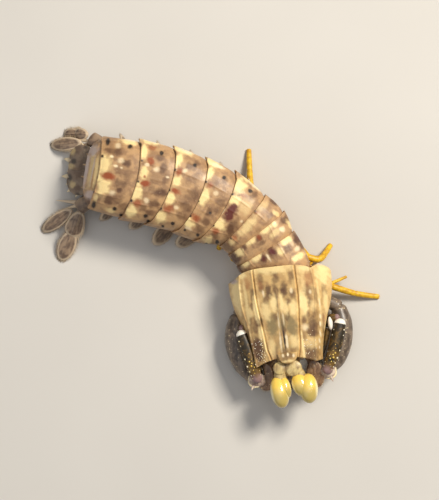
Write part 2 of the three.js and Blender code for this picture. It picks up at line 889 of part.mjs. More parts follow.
function pleopod(number, side) {
  const at = bodyAt(number + 2, 0.42);
  const spread = (side > 0 ? PLEOPOD_SPREAD.left : PLEOPOD_SPREAD.right)[number - 1];
  const down = new THREE.Vector3(0, 0, -1);
  const size = number === 1 ? 0.8 : 1;
  const out = at.across.clone().multiplyScalar(side).setZ(0).normalize();
  const back = at.along.clone().setZ(0).normalize();
  const from = (a, b, z) => at.origin.clone().setZ(z).addScaledVector(out, a).addScaledVector(back, b);
  const belly = point(at, 0, 0, -at.belly).z;
  const fork = from(7.2, 0.4, belly - 2.2);
  const stalk = limb(
    [from(6.4, 0, belly + 1.4), from(6.9, 0.2, belly - 0.6), fork],
    [
      [1.3, 1.0],
      [1.4, 1.0],
      [1.0, 0.8],
    ],
    { up: back, sides: 8 },
  );
  const outerTip = from(11.2 + 5.4 * spread, 2.6, lerp(1.6, belly - 5.2, spread));
  const outerRoot = fork.clone().addScaledVector(out, -0.2);
  const outerFrame = aimed(outerRoot, outerTip, back.clone().add(down).negate());
  const outerOval = oval(3.4 * size, outerTip.distanceTo(fork) + 0.4, 10, 0.6);
  const outer = leaf(outerFrame, outerOval, [0, 4.2], { edge: 0.55, swell: 0.25 });
  const innerTip = from(6.0, 1.4, -FOOT_SINK);
  const innerFrame = aimed(fork.clone().addScaledVector(down, -0.3), innerTip, back.clone().negate());
  const innerOval = oval(2.8 * size, innerTip.distanceTo(fork) + 0.5, 10, 0.62);
  const inner = leaf(innerFrame, innerOval, [0, 4.4], { edge: 0.7, swell: 0.35 });
  const gills = [0, 1, 2].map((k) => {
    const tip = from(3.4 + 0.5 * k, 1.6 + 0.5 * k, belly - 3.4 - 0.7 * k);
    return spike(fork.clone().addScaledVector(back, 0.2), tip, 0.42);
  });
  return join([stalk, outer, inner, ...gills]);
}

// Tail fan

const tailEnd = bodyAt(RINGS.length - 1, 1);
const telsonFrame = makeFrame(point(tailEnd, 0, 3 * GAP, 0.9), 171, TELSON.pitch, tailEnd.roll);

// Stations along the plate as [share of its length, share of its half width], and the teeth of its rear
// edge as [across, along] from the root of the tooth to its tip.
const TELSON_STATIONS = [
  [0, 0.86],
  [0.22, 1.06],
  [0.55, 1.1],
  [0.8, 0.98],
  [0.93, 0.8],
  [1, 0.62],
];
const TELSON_TEETH = [
  { root: [5.8, 3.6], tip: [8.3, 5.2], radius: 0.7 },
  { root: [5.0, 5.6], tip: [7.1, 9.0], radius: 1.1 },
  { root: [2.4, 7.2], tip: [2.65, 12.1], radius: 1.2 },
  { root: [4.5, 7.6], tip: [4.9, 10.0], radius: 0.6 },
  { root: [0.9, 8.0], tip: [0.9, 10.2], radius: 0.5 },
];

function telson() {
  const across = [0, 0.07, 0.2, 0.55, 0.85];
  const rings = TELSON_STATIONS.map(([share, width]) => {
    const half = TELSON.half * width;
    const crest = TELSON.swell * Math.sin(Math.PI * lerp(0.25, 0.97, share));
    const up = (part) => {
      const keel = part === 0 ? TELSON.keel * (1 - smooth(share, 0.6, 1)) : 0;
      return TELSON.edge / 2 + crest * (1 - part * part) + keel;
    };
    const side = (sign) => [
      ...across.map((part) =>
        point(telsonFrame, sign * part * half, share * TELSON.length, up(part)),
      ),
      point(telsonFrame, sign * half, share * TELSON.length, 0),
      point(telsonFrame, sign * 0.6 * half, share * TELSON.length, -0.6 * TELSON.edge),
    ];
    const right = side(-1).slice(1).reverse();
    return [...side(1), point(telsonFrame, 0, share * TELSON.length, -0.7 * TELSON.edge), ...right];
  });
  const toothEnd = (side, [a, b]) => point(telsonFrame, side * a, b);
  const teeth = TELSON_TEETH.flatMap(({ root, tip, radius }) =>
    [1, -1].map((side) => spike(toothEnd(side, root), toothEnd(side, tip), radius)),
  );
  return join([loft(rings), ...teeth]);
}

// Uropods, each a base with a forked spine, a two-part outer blade with a spined edge and an inner blade.
// The blades lie on the floor beside the telson, with their roots side by side on the base.
const UROPODS = {
  left: {
    side: 1,
    base: [
      [-33.2, 38.4, 7.4],
      [-35.6, 40.0, 6.2],
    ],
    outer: [
      [-36.8, 41.3, 5.6],
      [-43.8, 41.6, 0.4],
    ],
    inner: [
      [-38.8, 39.0, 5.0],
      [-47.8, 38.2, 0.4],
    ],
    fork: [
      [-43.6, 36.9, 1.4],
      [-41.6, 40.2, 3.2],
    ],
  },
  right: {
    side: -1,
    base: [
      [-37.0, 21.2, 7.0],
      [-39.2, 19.4, 5.8],
    ],
    outer: [
      [-38.9, 18.1, 5.4],
      [-45.0, 3.6, 0.4],
    ],
    inner: [
      [-41.7, 18.7, 4.6],
      [-50.4, 12.4, 0.4],
    ],
    fork: [
      [-46.6, 21.6, 1.0],
      [-45.2, 18.6, 2.2],
    ],
  },
};
const OUTER_BLADE = { half: 2.7, jointAt: 0.45 };

function uropodBase({ side, base, fork }) {
  const root = point(tailEnd, side * 6.9, -1.0, -0.8);
  const [middle, end] = path(base);
  const stem = limb(
    [root, middle, end],
    [
      [1.5, 1.4],
      [2.2, 1.4],
      [2.3, 1.2],
    ],
    { sides: 8 },
  );
  const spines = path(fork).map((tip, k) => spike(middle.clone().lerp(end, 0.3), tip, 0.85 - 0.1 * k));
  return join([stem, ...spines]);
}

function outerBlade({ side, outer }) {
  const [root, tip] = path(outer);
  const frame = aimed(root, tip, UP);
  const length = root.distanceTo(tip);
  const half = OUTER_BLADE.half * Math.min(1, length / 13);
  const split = OUTER_BLADE.jointAt * length;
  const nearOval = oval(half, split + 0.8, 12, 0.7);
  const near = leaf(frame, nearOval, [0, 0.6 * split], { edge: 0.8, swell: 0.6 });
  const farOval = oval(half * 0.92, length - split + 0.8, 12, 0.5, split - 0.8);
  const far = leaf(frame, farOval, [0, (length + split) / 2], { edge: 0.6, swell: 0.35 });
  const spines = Array.from({ length: 6 }, (_, k) => {
    const along = lerp(0.4, 1.0, k / 5) * split;
    const reach = half * (0.82 + 0.18 * Math.sin((Math.PI * k) / 5));
    const base = point(frame, side * (reach - 0.7), along - 0.4);
    return spike(base, point(frame, side * (reach + 0.7), along + 1.4), 0.4);
  });
  return join([near, far, ...spines]);
}

function innerBlade({ inner }) {
  const [root, tip] = path(inner);
  const frame = aimed(root, tip, UP);
  const length = root.distanceTo(tip);
  return leaf(frame, oval(1.9, length, 12, 0.5), [0, 0.5 * length], {
    edge: 0.6,
    swell: 0.3,
    bend: (a, b) => 0.6 * Math.sin((Math.PI * b) / length),
  });
}

// Assembly: every node is cut clear of the pieces placed before it, and of the floor.

const shrimp = new THREE.Group();
const placed = [];
const FLOOR_SIDE = 400;
const floor = solid(new THREE.BoxGeometry(FLOOR_SIDE, FLOOR_SIDE, 20).translate(0, 0, -10));

function add(name, body, material) {
  let clear = body;
  if (clear.boundingBox().min[2] < 0) clear = clear.subtract(floor);
  for (const other of placed) {
    if (clear.intersect(other).volume() > 1e-4) clear = clear.subtract(other);
  }
  clear = largest(clear);
  placed.push(grown(clear));
  const mesh = new THREE.Mesh(surface(clear).translate(-MIDDLE[0], -MIDDLE[1], 0), material);
  mesh.name = name;
  shrimp.add(mesh);
}

add("carapace", carapace(), HEAD_SHELL);
add("thorax_core", thoraxCore(), BELLY);
RINGS.forEach((ring, index) => add(ring.name, bodyRing(index), SHELL));
add("telson", telson(), SHELL);
add("rostral_plate", rostralPlate(), HEAD_SHELL);
add("eye_somite", eyeSomite(), HEAD_SHELL);
for (const [word, side] of Object.entries(SIDES)) {
  const claw = CLAWS[word];
  add(`cornea_${word}`, cornea(EYES[word]), CORNEA);
  add(`eyestalk_${word}`, eyeStalk(EYES[word]), HEAD_SHELL);
  add(`antennule_${word}`, antennule(side), CLEAR_LIMB);
  add(`propodus_${word}`, propodus(claw), CLAW);
  add(`merus_${word}`, merus(claw), CLEAR_LIMB);
  add(`ischium_${word}`, ischium(claw), CLEAR_LIMB);
  add(`carpus_${word}`, carpus(claw), CLEAR_LIMB);
  add(`dactylus_${word}`, dactylus(claw), CLAW);
  add(`antenna_${word}`, antenna(ANTENNAE[word]), CLEAR_LIMB);
  for (const number of [3, 4, 5]) add(`maxilliped_${number}_${word}`, maxilliped(number, side), BELLY);
}
for (const [name, sizes] of Object.entries(LEGS)) add(`leg_${name}`, leg(sizes), LEG);
for (const [word, side] of Object.entries(SIDES)) {
  for (const number of [1, 2, 3, 4, 5]) add(`pleopod_${number}_${word}`, pleopod(number, side), FIN);
  add(`uropod_base_${word}`, uropodBase(UROPODS[word]), FIN);
  add(`uropod_outer_${word}`, outerBlade(UROPODS[word]), FIN);
  add(`uropod_inner_${word}`, innerBlade(UROPODS[word]), FIN);
}

export default shrimp;
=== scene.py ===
"""The looks of a life-size mantis shrimp resting on a pale floor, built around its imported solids.

Shapes are worked out in millimetres in the animal's own terms: across to its left, along its body
towards the tail, and up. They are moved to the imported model's place when a mesh is made.
"""

import logging
import math
from dataclasses import dataclass, field
from enum import Enum
from typing import Any, Callable, Optional, Sequence

import bmesh
import bpy
import numpy as np
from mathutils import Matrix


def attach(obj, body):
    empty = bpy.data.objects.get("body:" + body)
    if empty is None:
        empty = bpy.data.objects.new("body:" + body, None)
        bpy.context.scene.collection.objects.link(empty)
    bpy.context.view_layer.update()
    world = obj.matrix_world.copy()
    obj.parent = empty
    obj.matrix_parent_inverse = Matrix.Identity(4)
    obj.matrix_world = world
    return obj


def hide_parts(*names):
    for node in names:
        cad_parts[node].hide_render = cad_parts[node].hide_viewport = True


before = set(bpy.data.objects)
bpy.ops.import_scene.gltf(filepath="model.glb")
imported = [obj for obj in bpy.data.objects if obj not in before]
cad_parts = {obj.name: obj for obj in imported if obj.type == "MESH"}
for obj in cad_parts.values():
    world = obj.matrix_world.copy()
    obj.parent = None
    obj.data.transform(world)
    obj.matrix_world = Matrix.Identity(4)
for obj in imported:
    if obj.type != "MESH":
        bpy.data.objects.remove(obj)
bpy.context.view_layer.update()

log = logging.getLogger("mantis_shrimp")

Vec = np.ndarray
Colour = tuple[float, float, float]
Point = tuple[float, float, float]

MILLIMETRE = 0.001
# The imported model's origin in the animal's own terms.
MIDDLE = np.array([0.32, 1.83, 0.0])
UP = np.array([0.0, 0.0, 1.0])


class Slot(Enum):
    """The record's material slots."""

    HEAD = "head_plate"
    BACK = "back_plate"
    UNDER = "underside"
    EYE = "eye"
    CLAW = "claw"
    CLEAR = "clear_limb"
    LEG = "walking_leg"
    FIN = "fin"


class Side(Enum):
    """The two sides of the animal, with the sign of the across direction."""

    LEFT = 1
    RIGHT = -1

    @property
    def word(self) -> str:
        """The side's name as it stands in a node's name."""
        return self.name.lower()


# Numbers


def ease(value: Any, start: float, end: float) -> Any:
    """A smooth step from 0 at start to 1 at end.

    Args:
        value: A number or an array.
        start: Where the step begins.
        end: Where the step is done.

    Returns:
        The step's height at each value.
    """
    share = np.clip((np.asarray(value, float) - start) / (end - start), 0.0, 1.0)
    return share * share * (3.0 - 2.0 * share)


def between(first: Any, last: Any, share: Any) -> Any:
    """The value a share of the way from first to last."""
    return first + (last - first) * share


def hump(value: Any, centre: float, width: float) -> Any:
    """A soft hump of height 1 about a centre."""
    return np.exp(-(((np.asarray(value, float) - centre) / width) ** 2))


def unit(vector: Vec) -> Vec:
    """The vector at length 1."""
    return vector / np.linalg.norm(vector, axis=-1, keepdims=True)


def unevenness(points: Vec, size: float, seed: int) -> Vec:
    """Smooth uneven values over points.

    Args:
        points: Points in millimetres, in the last axis.
        size: The breadth of the largest features, in millimetres.
        seed: The start of the fixed random numbers.

    Returns:
        Values between about -1 and 1.
    """
    octaves, ways, finer, fainter = 3, 4, 1.9, 0.55
    numbers = np.random.default_rng(seed)
    total = np.zeros(points.shape[:-1])
    for octave in range(octaves):
        for _ in range(ways):
            way = unit(numbers.normal(size=points.shape[-1]))
            phase = numbers.uniform(0.0, math.tau)
            waves = math.tau / size * finer**octave
            total += fainter**octave * np.sin(points @ way * waves + phase)
    return total / ways


# Places and paths


@dataclass(frozen=True)
class Axes:
    """A place with three directions: across to the left, along towards the tail, and up."""

    origin: Vec
    across: Vec
    along: Vec
    up: Vec

    def point(self, across: Any, along: Any, up: Any = 0.0) -> Vec:
        """Points at distances from the origin along the three directions."""
        parts = [np.asarray(part, float)[..., None] for part in np.broadcast_arrays(across, along, up)]
        return self.origin + parts[0] * self.across + parts[1] * self.along + parts[2] * self.up


def turned(origin: Sequence[float], heading: float, pitch: float, roll: float = 0.0) -> Axes:
    """Axes turned by angles in degrees.

    Args:
        origin: Their place.
        heading: Which way the tail lies, seen from above.
        pitch: How far the tail end points up.
        roll: How far the left side is lifted.

    Returns:
        The axes.
    """
    h, p, r = (math.radians(angle) for angle in (heading, pitch, roll))
    along = np.array([math.cos(h) * math.cos(p), math.sin(h) * math.cos(p), math.sin(p)])
    level = np.array([math.sin(h), -math.cos(h), 0.0])
    across = level * math.cos(r) + np.cross(level, along) * math.sin(r)
    return Axes(np.asarray(origin, float), across, along, np.cross(across, along))


def aimed(origin: Vec, target: Vec, hint: Vec) -> Axes:
    """Axes whose along points at a target, with up kept near a hint."""
    along = unit(np.asarray(target, float) - origin)
    across = unit(np.cross(along, hint))
    return Axes(np.asarray(origin, float), across, along, np.cross(across, along))


@dataclass(frozen=True)
class Path:
    """A smooth curve through rows of numbers, such as points or sizes."""

    rows: Any
    even: bool = False

    def at(self, share: Any) -> Vec:
        """The curve at shares of the way through its rows.

        Args:
            share: Numbers from 0 to 1.

        Returns:
            One row for each share.
        """
        rows = np.asarray(self.rows, float)
        padded = np.vstack([2 * rows[0] - rows[1], rows, 2 * rows[-1] - rows[-2]])
        spans = len(rows) - 1
        place = np.clip(np.asarray(share, float), 0.0, 1.0) * spans
        span = np.minimum(place.astype(int), spans - 1)
        t = (place - span)[..., None]
        a, b, c, d = (padded[span + k] for k in range(4))
        if self.even:
            first = second = third = 1.0
        else:
            first, second, third = (
                np.sqrt(np.linalg.norm(q - p, axis=-1, keepdims=True)) for p, q in ((a, b), (b, c), (c, d))
            )
        leave = ((b - a) / first - (c - a) / (first + second) + (c - b) / second) * second
        arrive = ((c - b) / second - (d - b) / (second + third) + (d - c) / third) * second
        cubic = 2 * b - 2 * c + leave + arrive
        square = -3 * b + 3 * c - 2 * leave - arrive
        return b + t * (leave + t * (square + t * cubic))

    def way(self, share: Any) -> Vec:
        """The curve's direction at shares of the way."""
        share = np.asarray(share, float)
        step = 1e-3
        return unit(self.at(np.minimum(share + step, 1.0)) - self.at(np.maximum(share - step, 0.0)))


# Pigments and meshes


class Pigment(Enum):
    """The layers of colour that a piece's own attributes carry."""

    UMBER = "umber"
    MOSS = "moss"
    CREAM = "cream"
    RUST = "rust"
    WINE = "wine"
    LILAC = "lilac"
    SOOT = "soot"
    # Pale marks; some of them on the back rings are painted highlights.
    PEARL = "pearl"


# Marks are placed in dots of 0.3 mm, counted to the right and down from a corner this far from the origin.
DOT = 0.3
DOT_ORIGIN = (210.0, 272.0)
# The breadth in dots and the strength of the unevenness of a mark's edge.
RAGGED_SIZE = 8.0
RAGGED = 0.26
Rows = tuple[tuple[float, ...], ...]


@dataclass(frozen=True)
class Patch:
    """A soft oval of pigment, placed from above in dots of 0.3 mm, to the right and down."""

    right: float
    down: float
    wide: float
    long: float
    strength: float = 1.0

    def cover(self, points: Vec, heading: float) -> Vec:
        """How strongly the patch covers points.

        Args:
            points: Points in millimetres.
            heading: The direction of the patch's length, in degrees.

        Returns:
            The cover from 0 to the patch's strength.
        """
        x = points[..., 0] / DOT - (self.right - DOT_ORIGIN[0])
        y = points[..., 1] / DOT + (self.down - DOT_ORIGIN[1])
        turn = math.radians(heading)
        across = x * math.sin(turn) - y * math.cos(turn)
        along = x * math.cos(turn) + y * math.sin(turn)
        ragged = unevenness(np.stack([x, y], axis=-1), RAGGED_SIZE, int(self.right + 3 * self.down))
        away = np.hypot(across / self.wide, along / self.long)
        return self.strength * (1.0 - ease(away + RAGGED * ragged, 0.4, 1.35))


def painted(
    points: Vec,
    marks: dict[Pigment, Rows],
    heading: float,
    seen: Any = 1.0,
    spread: Sequence[float] = (1.0, 1.0),
) -> dict[Pigment, Vec]:
    """The pigment layers that a piece's marks give.

    Args:
        points: The piece's points in millimetres.
        marks: For each pigment, its patches as right, down, half width, half length and strength.
        heading: The direction of the patches' length, in degrees.
        seen: Where the piece can be seen from above, from 0 to 1.
        spread: How much wider and longer the cloudy patches run than their rows say.

    Returns:
        One array for each pigment, from 0 to 1.
    """
    layers = {}
    for pigment in Pigment:
        layer = np.zeros(points.shape[:-1])
        wide, long = spread if pigment in (Pigment.UMBER, Pigment.CREAM) else (1.0, 1.0)
        for right, down, *size in marks.get(pigment, ()):
            patch = Patch(right, down, size[0] * wide, size[1] * long, *size[2:])
            layer = np.maximum(layer, patch.cover(points, heading))
        layers[pigment] = layer * seen
    return layers


def paled(shape: tuple[int, ...], pale: Any) -> dict[Pigment, Vec]:
    """Pigment layers of one shape that are empty but for the pearl."""
    layers = {pigment: np.zeros(shape) for pigment in Pigment}
    layers[Pigment.PEARL] = np.broadcast_to(pale, shape)
    return layers


def closed(left: Vec, right: Vec) -> Vec:
    """A closed ring from two half rings that share their first and last points."""
    return np.vstack([left, right[-2:0:-1]])


def carry(mesh: bpy.types.Mesh, name: str, values: Vec) -> None:
    """Gives a mesh's points a number each, or a vector where the values have rows of three."""
    kind, key = ("FLOAT_VECTOR", "vector") if values.ndim > 1 else ("FLOAT", "value")
    layer = mesh.attributes.new(name, kind, "POINT")
    layer.data.foreach_set(key, values.astype(np.float32).ravel())


Bend = Callable[[Vec, Vec], Vec]


def waisted(*dents: tuple[float, float, float]) -> Bend:
    """A girth that is narrower by a depth about each share of the length, over a width."""

    def girth(share: Vec, turn: Vec) -> Vec:
        """The factor at shares of the length, the same all round."""
        factor = 1.0
        for depth, centre, width in dents:
            factor = factor - depth * hump(share, centre, width)
        return factor

    return girth


class Form:
    """A mesh in the making: closed skins whose points carry a place on the piece and pigments."""

    def __init__(self, name: str) -> None:
        """Starts an empty form with the name of its piece."""
        self.name = name
        self.points: list[Vec] = []
        self.places: list[Vec] = []
        self.layers: dict[Pigment, list[Vec]] = {pigment: [] for pigment in Pigment}
        self.faces: list[list[int]] = []
        self.count = 0

    def skin(
        self,
        rings: Vec,
        place: Optional[Vec] = None,
        start: Optional[Vec] = None,
        end: Optional[Vec] = None,
        layers: Optional[dict[Pigment, Vec]] = None,
    ) -> None:
        """Adds a closed skin over a row of rings, with a fan at each end.

        Args:
            rings: Points by ring and by step round it.
            place: Three numbers for each point, which the materials read.
            start: The tip of the first fan, or the first ring's middle.
            end: The tip of the last fan, or the last ring's middle.
            layers: The pigments at each point.
        """
        rows, around = rings.shape[:2]
        if place is None:
            turn, share = np.meshgrid(np.linspace(0, 1, around), np.linspace(0, 1, rows))
            place = np.stack([turn, share, np.zeros_like(turn)], axis=-1)
        tips = [rings[0].mean(0) if start is None else start, rings[-1].mean(0) if end is None else end]
        self.points.append(np.vstack([rings.reshape(-1, 3), np.asarray(tips, float)]))
        ends = np.vstack([place[0].mean(0), place[-1].mean(0)])
        self.places.append(np.vstack([place.reshape(-1, 3), ends]))
        for pigment in Pigment:
            layer = np.zeros((rows, around)) if layers is None else layers[pigment]
            tones = [layer[0].mean(), layer[-1].mean()]
            self.layers[pigment].append(np.concatenate([layer.ravel(), tones]))
        base = self.count
        index = base + np.arange(rows * around).reshape(rows, around)
        step = np.roll(index, -1, axis=1)
        quads = np.stack([index[:-1], step[:-1], step[1:], index[1:]], axis=-1).reshape(-1, 4)
        first, last = base + rows * around, base + rows * around + 1
        self.faces.extend(quads.tolist())
        self.faces.extend([first, b, a] for a, b in zip(index[0].tolist(), step[0].tolist()))
        self.faces.extend([last, a, b] for a, b in zip(index[-1].tolist(), step[-1].tolist()))
        self.count += rows * around + 2

    def mesh(self, crisp: float = 65.0) -> bpy.types.Mesh:
        """The finished mesh in metres.

        Args:
            crisp: The angle in degrees from which an edge is shaded sharp.

        Returns:
            The mesh, with its faces outwards and its attributes in place.
        """
        made = bpy.data.meshes.new(self.name)
        points = np.vstack(self.points) - MIDDLE
        points[:, 2] = np.maximum(points[:, 2], 0.0)
        points = points * MILLIMETRE
        made.from_pydata(points.tolist(), [], self.faces)
        shell = bmesh.new()
        shell.from_mesh(made)
        bmesh.ops.recalc_face_normals(shell, faces=shell.faces)
        shell.to_mesh(made)
        shell.free()
        carry(made, "place", np.vstack(self.places))
        for pigment, parts in self.layers.items():
            carry(made, pigment.value, np.concatenate(parts))
        made.polygons.foreach_set("use_smooth", np.ones(len(made.polygons), bool))
        made.set_sharp_from_angle(angle=math.radians(crisp))
        return made


def put(name: str, mesh: bpy.types.Mesh, finish: "Finish", slot: Slot, nodes: Sequence[str] = ()) -> None:
    """Makes a mesh a piece of the animal.

    Args:
        name: The piece's name.
        mesh: Its mesh, in place.
        finish: What it is finished in.
        slot: Not used.
        nodes: The solids that it stands for.
    """
    piece = bpy.data.objects.new(name, mesh)
    bpy.context.scene.collection.objects.link(piece)
    if not mesh.materials:
        mesh.materials.append(finish.material())
    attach(piece, "root")
    if nodes:
        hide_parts(*nodes)
    log.info("%s: %d faces", name, len(mesh.polygons))


def tube(
    form: Form,
    points: Any,
    sizes: Any,
    up: Vec = UP,
    sides: int = 28,
    steps: int = 12,
    rounding: float = 0.7,
    bluff: bool = False,
    girth: Optional[Bend] = None,
    pale: float = 0.0,
) -> None:
    """Adds a tube of oval section with round ends.

    Args:
        form: What it is added to.
        points: The points of its middle line.
        sizes: Half its width and half its height at each point.
        up: The direction that its height is measured in.
        sides: Points round it.
        steps: Rings between two points.
        rounding: The reach of the round ends, as a share of the smaller half size.
        bluff: Whether the far end is blunt.
        girth: How much wider it is at a share of its length and of a turn, as a factor.
        pale: How pale it is, from 0 to 1.
    """
    line, breadth = Path(points), Path(sizes, even=True)
    spans = len(points) - 1
    shares = np.linspace(0.0, 1.0, spans * steps + 1)
    caps = np.linspace(0.18, 0.97, 6)
    reach = [rounding * min(sizes[0]), rounding * min(sizes[-1])]
    power = 3.0 if bluff else 2.0
    shrink = (1.0 - caps**power) ** (1.0 / power)
    stations = [(0.0, s, -reach[0] * c) for s, c in zip(np.sqrt(1 - caps**2)[::-1], caps[::-1])]
    stations += [(share, 1.0, 0.0) for share in shares]
    stations += [(1.0, s, reach[1] * c) for s, c in zip(shrink, caps)]
    angle = np.linspace(0.0, math.tau, sides, endpoint=False)
    rings, places = [], []
    for share, scale, shift in stations:
        way = line.way(share)
        aside = unit(np.cross(up, way))
        rise = np.cross(way, aside)
        wide, high = breadth.at(share) * scale
        swell = np.ones(sides) if girth is None else girth(np.full(sides, share), angle / math.tau)
        middle = line.at(share) + way * shift
        out, over = wide * swell * np.cos(angle), high * swell * np.sin(angle)
        rings.append(middle + (np.outer(out, aside) + np.outer(over, rise)))
        places.append(np.stack([angle / math.tau, np.full(sides, share), np.full(sides, shift)], axis=-1))
    start = line.at(0.0) - line.way(0.0) * reach[0]
    end = line.at(1.0) + line.way(1.0) * reach[1]
    form.skin(np.array(rings), np.array(places), start, end, paled((len(rings), sides), pale))


def thorn(
    form: Form,
    base: Vec,
    tip: Vec,
    radius: float,
    flat: float = 1.0,
    curl: float = 0.0,
    hint: Vec = UP,
    pale: float = 0.0,
) -> None:
    """Adds a sharp tapering spine.

    Args:
        form: What it is added to.
        base: The middle of its root.
        tip: Its tip.
        radius: Half its width at the root.
        flat: Its thickness as a share of its width.
        curl: How far its middle bows towards the hint, in millimetres.
        hint: The direction of its thickness.
        pale: How pale its tip is, from 0 to 1.
    """
    base, tip = np.asarray(base, float), np.asarray(tip, float)
    axes = aimed(base, tip, hint if abs(unit(tip - base) @ hint) < 0.95 else np.array([1.0, 0.0, 0.0]))
    length = np.linalg.norm(tip - base)
    share = np.linspace(0.0, 1.0, 9)[:, None]
    angle = np.linspace(0.0, math.tau, 12, endpoint=False)[None, :]
    breadth = radius * ((1.0 - share) ** 0.9 + 0.05)
    bow = curl * np.sin(math.pi * share)
    rings = axes.point(breadth * np.cos(angle), length * share, flat * breadth * np.sin(angle) + bow)
    place = np.stack(np.broadcast_arrays(angle / math.tau, share, 1.0), axis=-1)
    layers = paled(rings.shape[:2], pale * ease(share, 0.1, 0.8))
    form.skin(rings, place, base, tip + 0.04 * axes.along, layers)


def ball(
    form: Form,
    axes: Axes,
    centre: Vec,
    half: Sequence[float],
    power: float = 2.0,
    mesh: int = 40,
    pale: float = 0.0,
) -> None:
    """Adds a rounded body.

    Args:
        form: What it is added to.
        axes: The directions of its half sizes.
        centre: Its middle.
        half: Half its size across, along and up.
        power: 2 for an ellipsoid, more for a squarer body.
        mesh: Steps round it.
        pale: How pale it is, from 0 to 1.
    """
    tilt = np.linspace(0.0, math.pi, mesh // 2 + 1)[1:-1, None]
    turn = np.linspace(0.0, math.tau, mesh, endpoint=False)[None, :]
    parts = np.stack(
        np.broadcast_arrays(np.sin(tilt) * np.cos(turn), np.cos(tilt), np.sin(tilt) * np.sin(turn)), axis=-1
    )
    reach = np.linalg.norm(np.abs(parts) ** (power / 2), axis=-1, keepdims=True) ** (-2 / power)
    parts = parts * reach
    placed = Axes(np.asarray(centre, float), axes.across, axes.along, axes.up)
    rings = placed.point(parts[..., 0] * half[0], parts[..., 1] * half[1], parts[..., 2] * half[2])
    layers = paled(rings.shape[:2], pale)
    form.skin(rings, parts, placed.point(0, half[1]), placed.point(0, -half[1]), layers)


def level(across: Vec, along: Vec) -> Vec:
    """No lift anywhere."""
    return 0.0 * across


def oval(half: float, length: float, widest: float = 0.55, start: float = 0.0, count: int = 88) -> Vec:
    """The outline of an oval leaf as across and along, widest at a share of its length."""
    angle = np.linspace(0.0, math.tau, count, endpoint=False) - math.pi / 2
    share = 0.5 + 0.5 * np.sin(angle)
    along = np.where(share < 0.5, 2 * share * widest, widest + 2 * (share - 0.5) * (1 - widest))
    return np.stack([half * np.cos(angle), start + length * along], axis=-1)


def plate(
    form: Form,
    axes: Axes,
    outline: Vec,
    middle: Sequence[float],
    edge: float,
    swell: float,
    bend: Bend = level,
    relief: Bend = level,
    marks: Optional[dict[Pigment, Rows]] = None,
    rings: int = 9,
) -> None:
    """Adds a thin plate with rounded edges.

    Args:
        form: What it is added to.
        axes: Where it lies.
        outline: Its outline as across and along.
        middle: The point that it is thickest at, as across and along.
        edge: Its thickness at the edge.
        swell: How much each face rises towards the middle.
        bend: How far both faces are lifted at a point.
        relief: How far the upper face alone rises at a point.
        marks: Its pigments.
        rings: Steps from the middle to the edge.
    """
    rows, places = [], []
    shares = np.linspace(0.0, 1.0, rings + 1)[1:] ** 0.85
    rim = [(1, share) for share in shares] + [(0, 1.0)] + [(-1, share) for share in shares[::-1]]
    centre = np.asarray(middle, float)
    for face, share in rim:
        flat = centre + (outline - centre) * share
        out = unit(outline - centre) * (0.3 * edge if face == 0 else 0.0)
        a, b = (flat + out).T
        lift = edge / 2 + (swell if face > 0 else 0.5 * swell) * (1 - share * share)
        up = bend(a, b) + face * lift + (relief(a, b) * min(1.0, 6 * (1 - share)) if face > 0 else 0.0)
        rows.append(axes.point(a, b, up))
        places.append(np.stack([a, b, np.full(len(a), share)], axis=-1))
    points = np.array(rows)
    heading = math.degrees(math.atan2(axes.along[1], axes.along[0]))
    layers = painted(points, marks, heading) if marks else None
    top = float(np.asarray(bend(centre[0], centre[1])))
    start = axes.point(*centre, top + edge / 2 + swell + float(np.asarray(relief(centre[0], centre[1]))))
    end = axes.point(*centre, top - edge / 2 - 0.5 * swell)
    form.skin(points, np.array(places), start, end, layers)


# Node trees


class Wire:
    """A socket in an expression, whose operators add Math nodes to its board."""

    def __init__(self, board: "Board", socket: bpy.types.NodeSocket) -> None:
        """Keeps the socket and the board that it is on."""
        self.board = board
        self.socket = socket

    def __add__(self, other: Any) -> "Wire":
        """The sum."""
        return self.board.maths("ADD", self, other)

    def __sub__(self, other: Any) -> "Wire":
        """The difference."""
        return self.board.maths("SUBTRACT", self, other)

    def __rsub__(self, other: Any) -> "Wire":
        """The difference from a number."""
        return self.board.maths("SUBTRACT", other, self)

    def __mul__(self, other: Any) -> "Wire":
        """The product."""
        return self.board.maths("MULTIPLY", self, other)

    def __truediv__(self, other: Any) -> "Wire":
        """The quotient."""
        return self.board.maths("DIVIDE", self, other)

    def __neg__(self) -> "Wire":
        """The negative."""
        return self.board.maths("MULTIPLY", self, -1.0)

    def __abs__(self) -> "Wire":
        """The size without its sign."""
        return self.board.maths("ABSOLUTE", self)

    __radd__ = __add__
    __rmul__ = __mul__


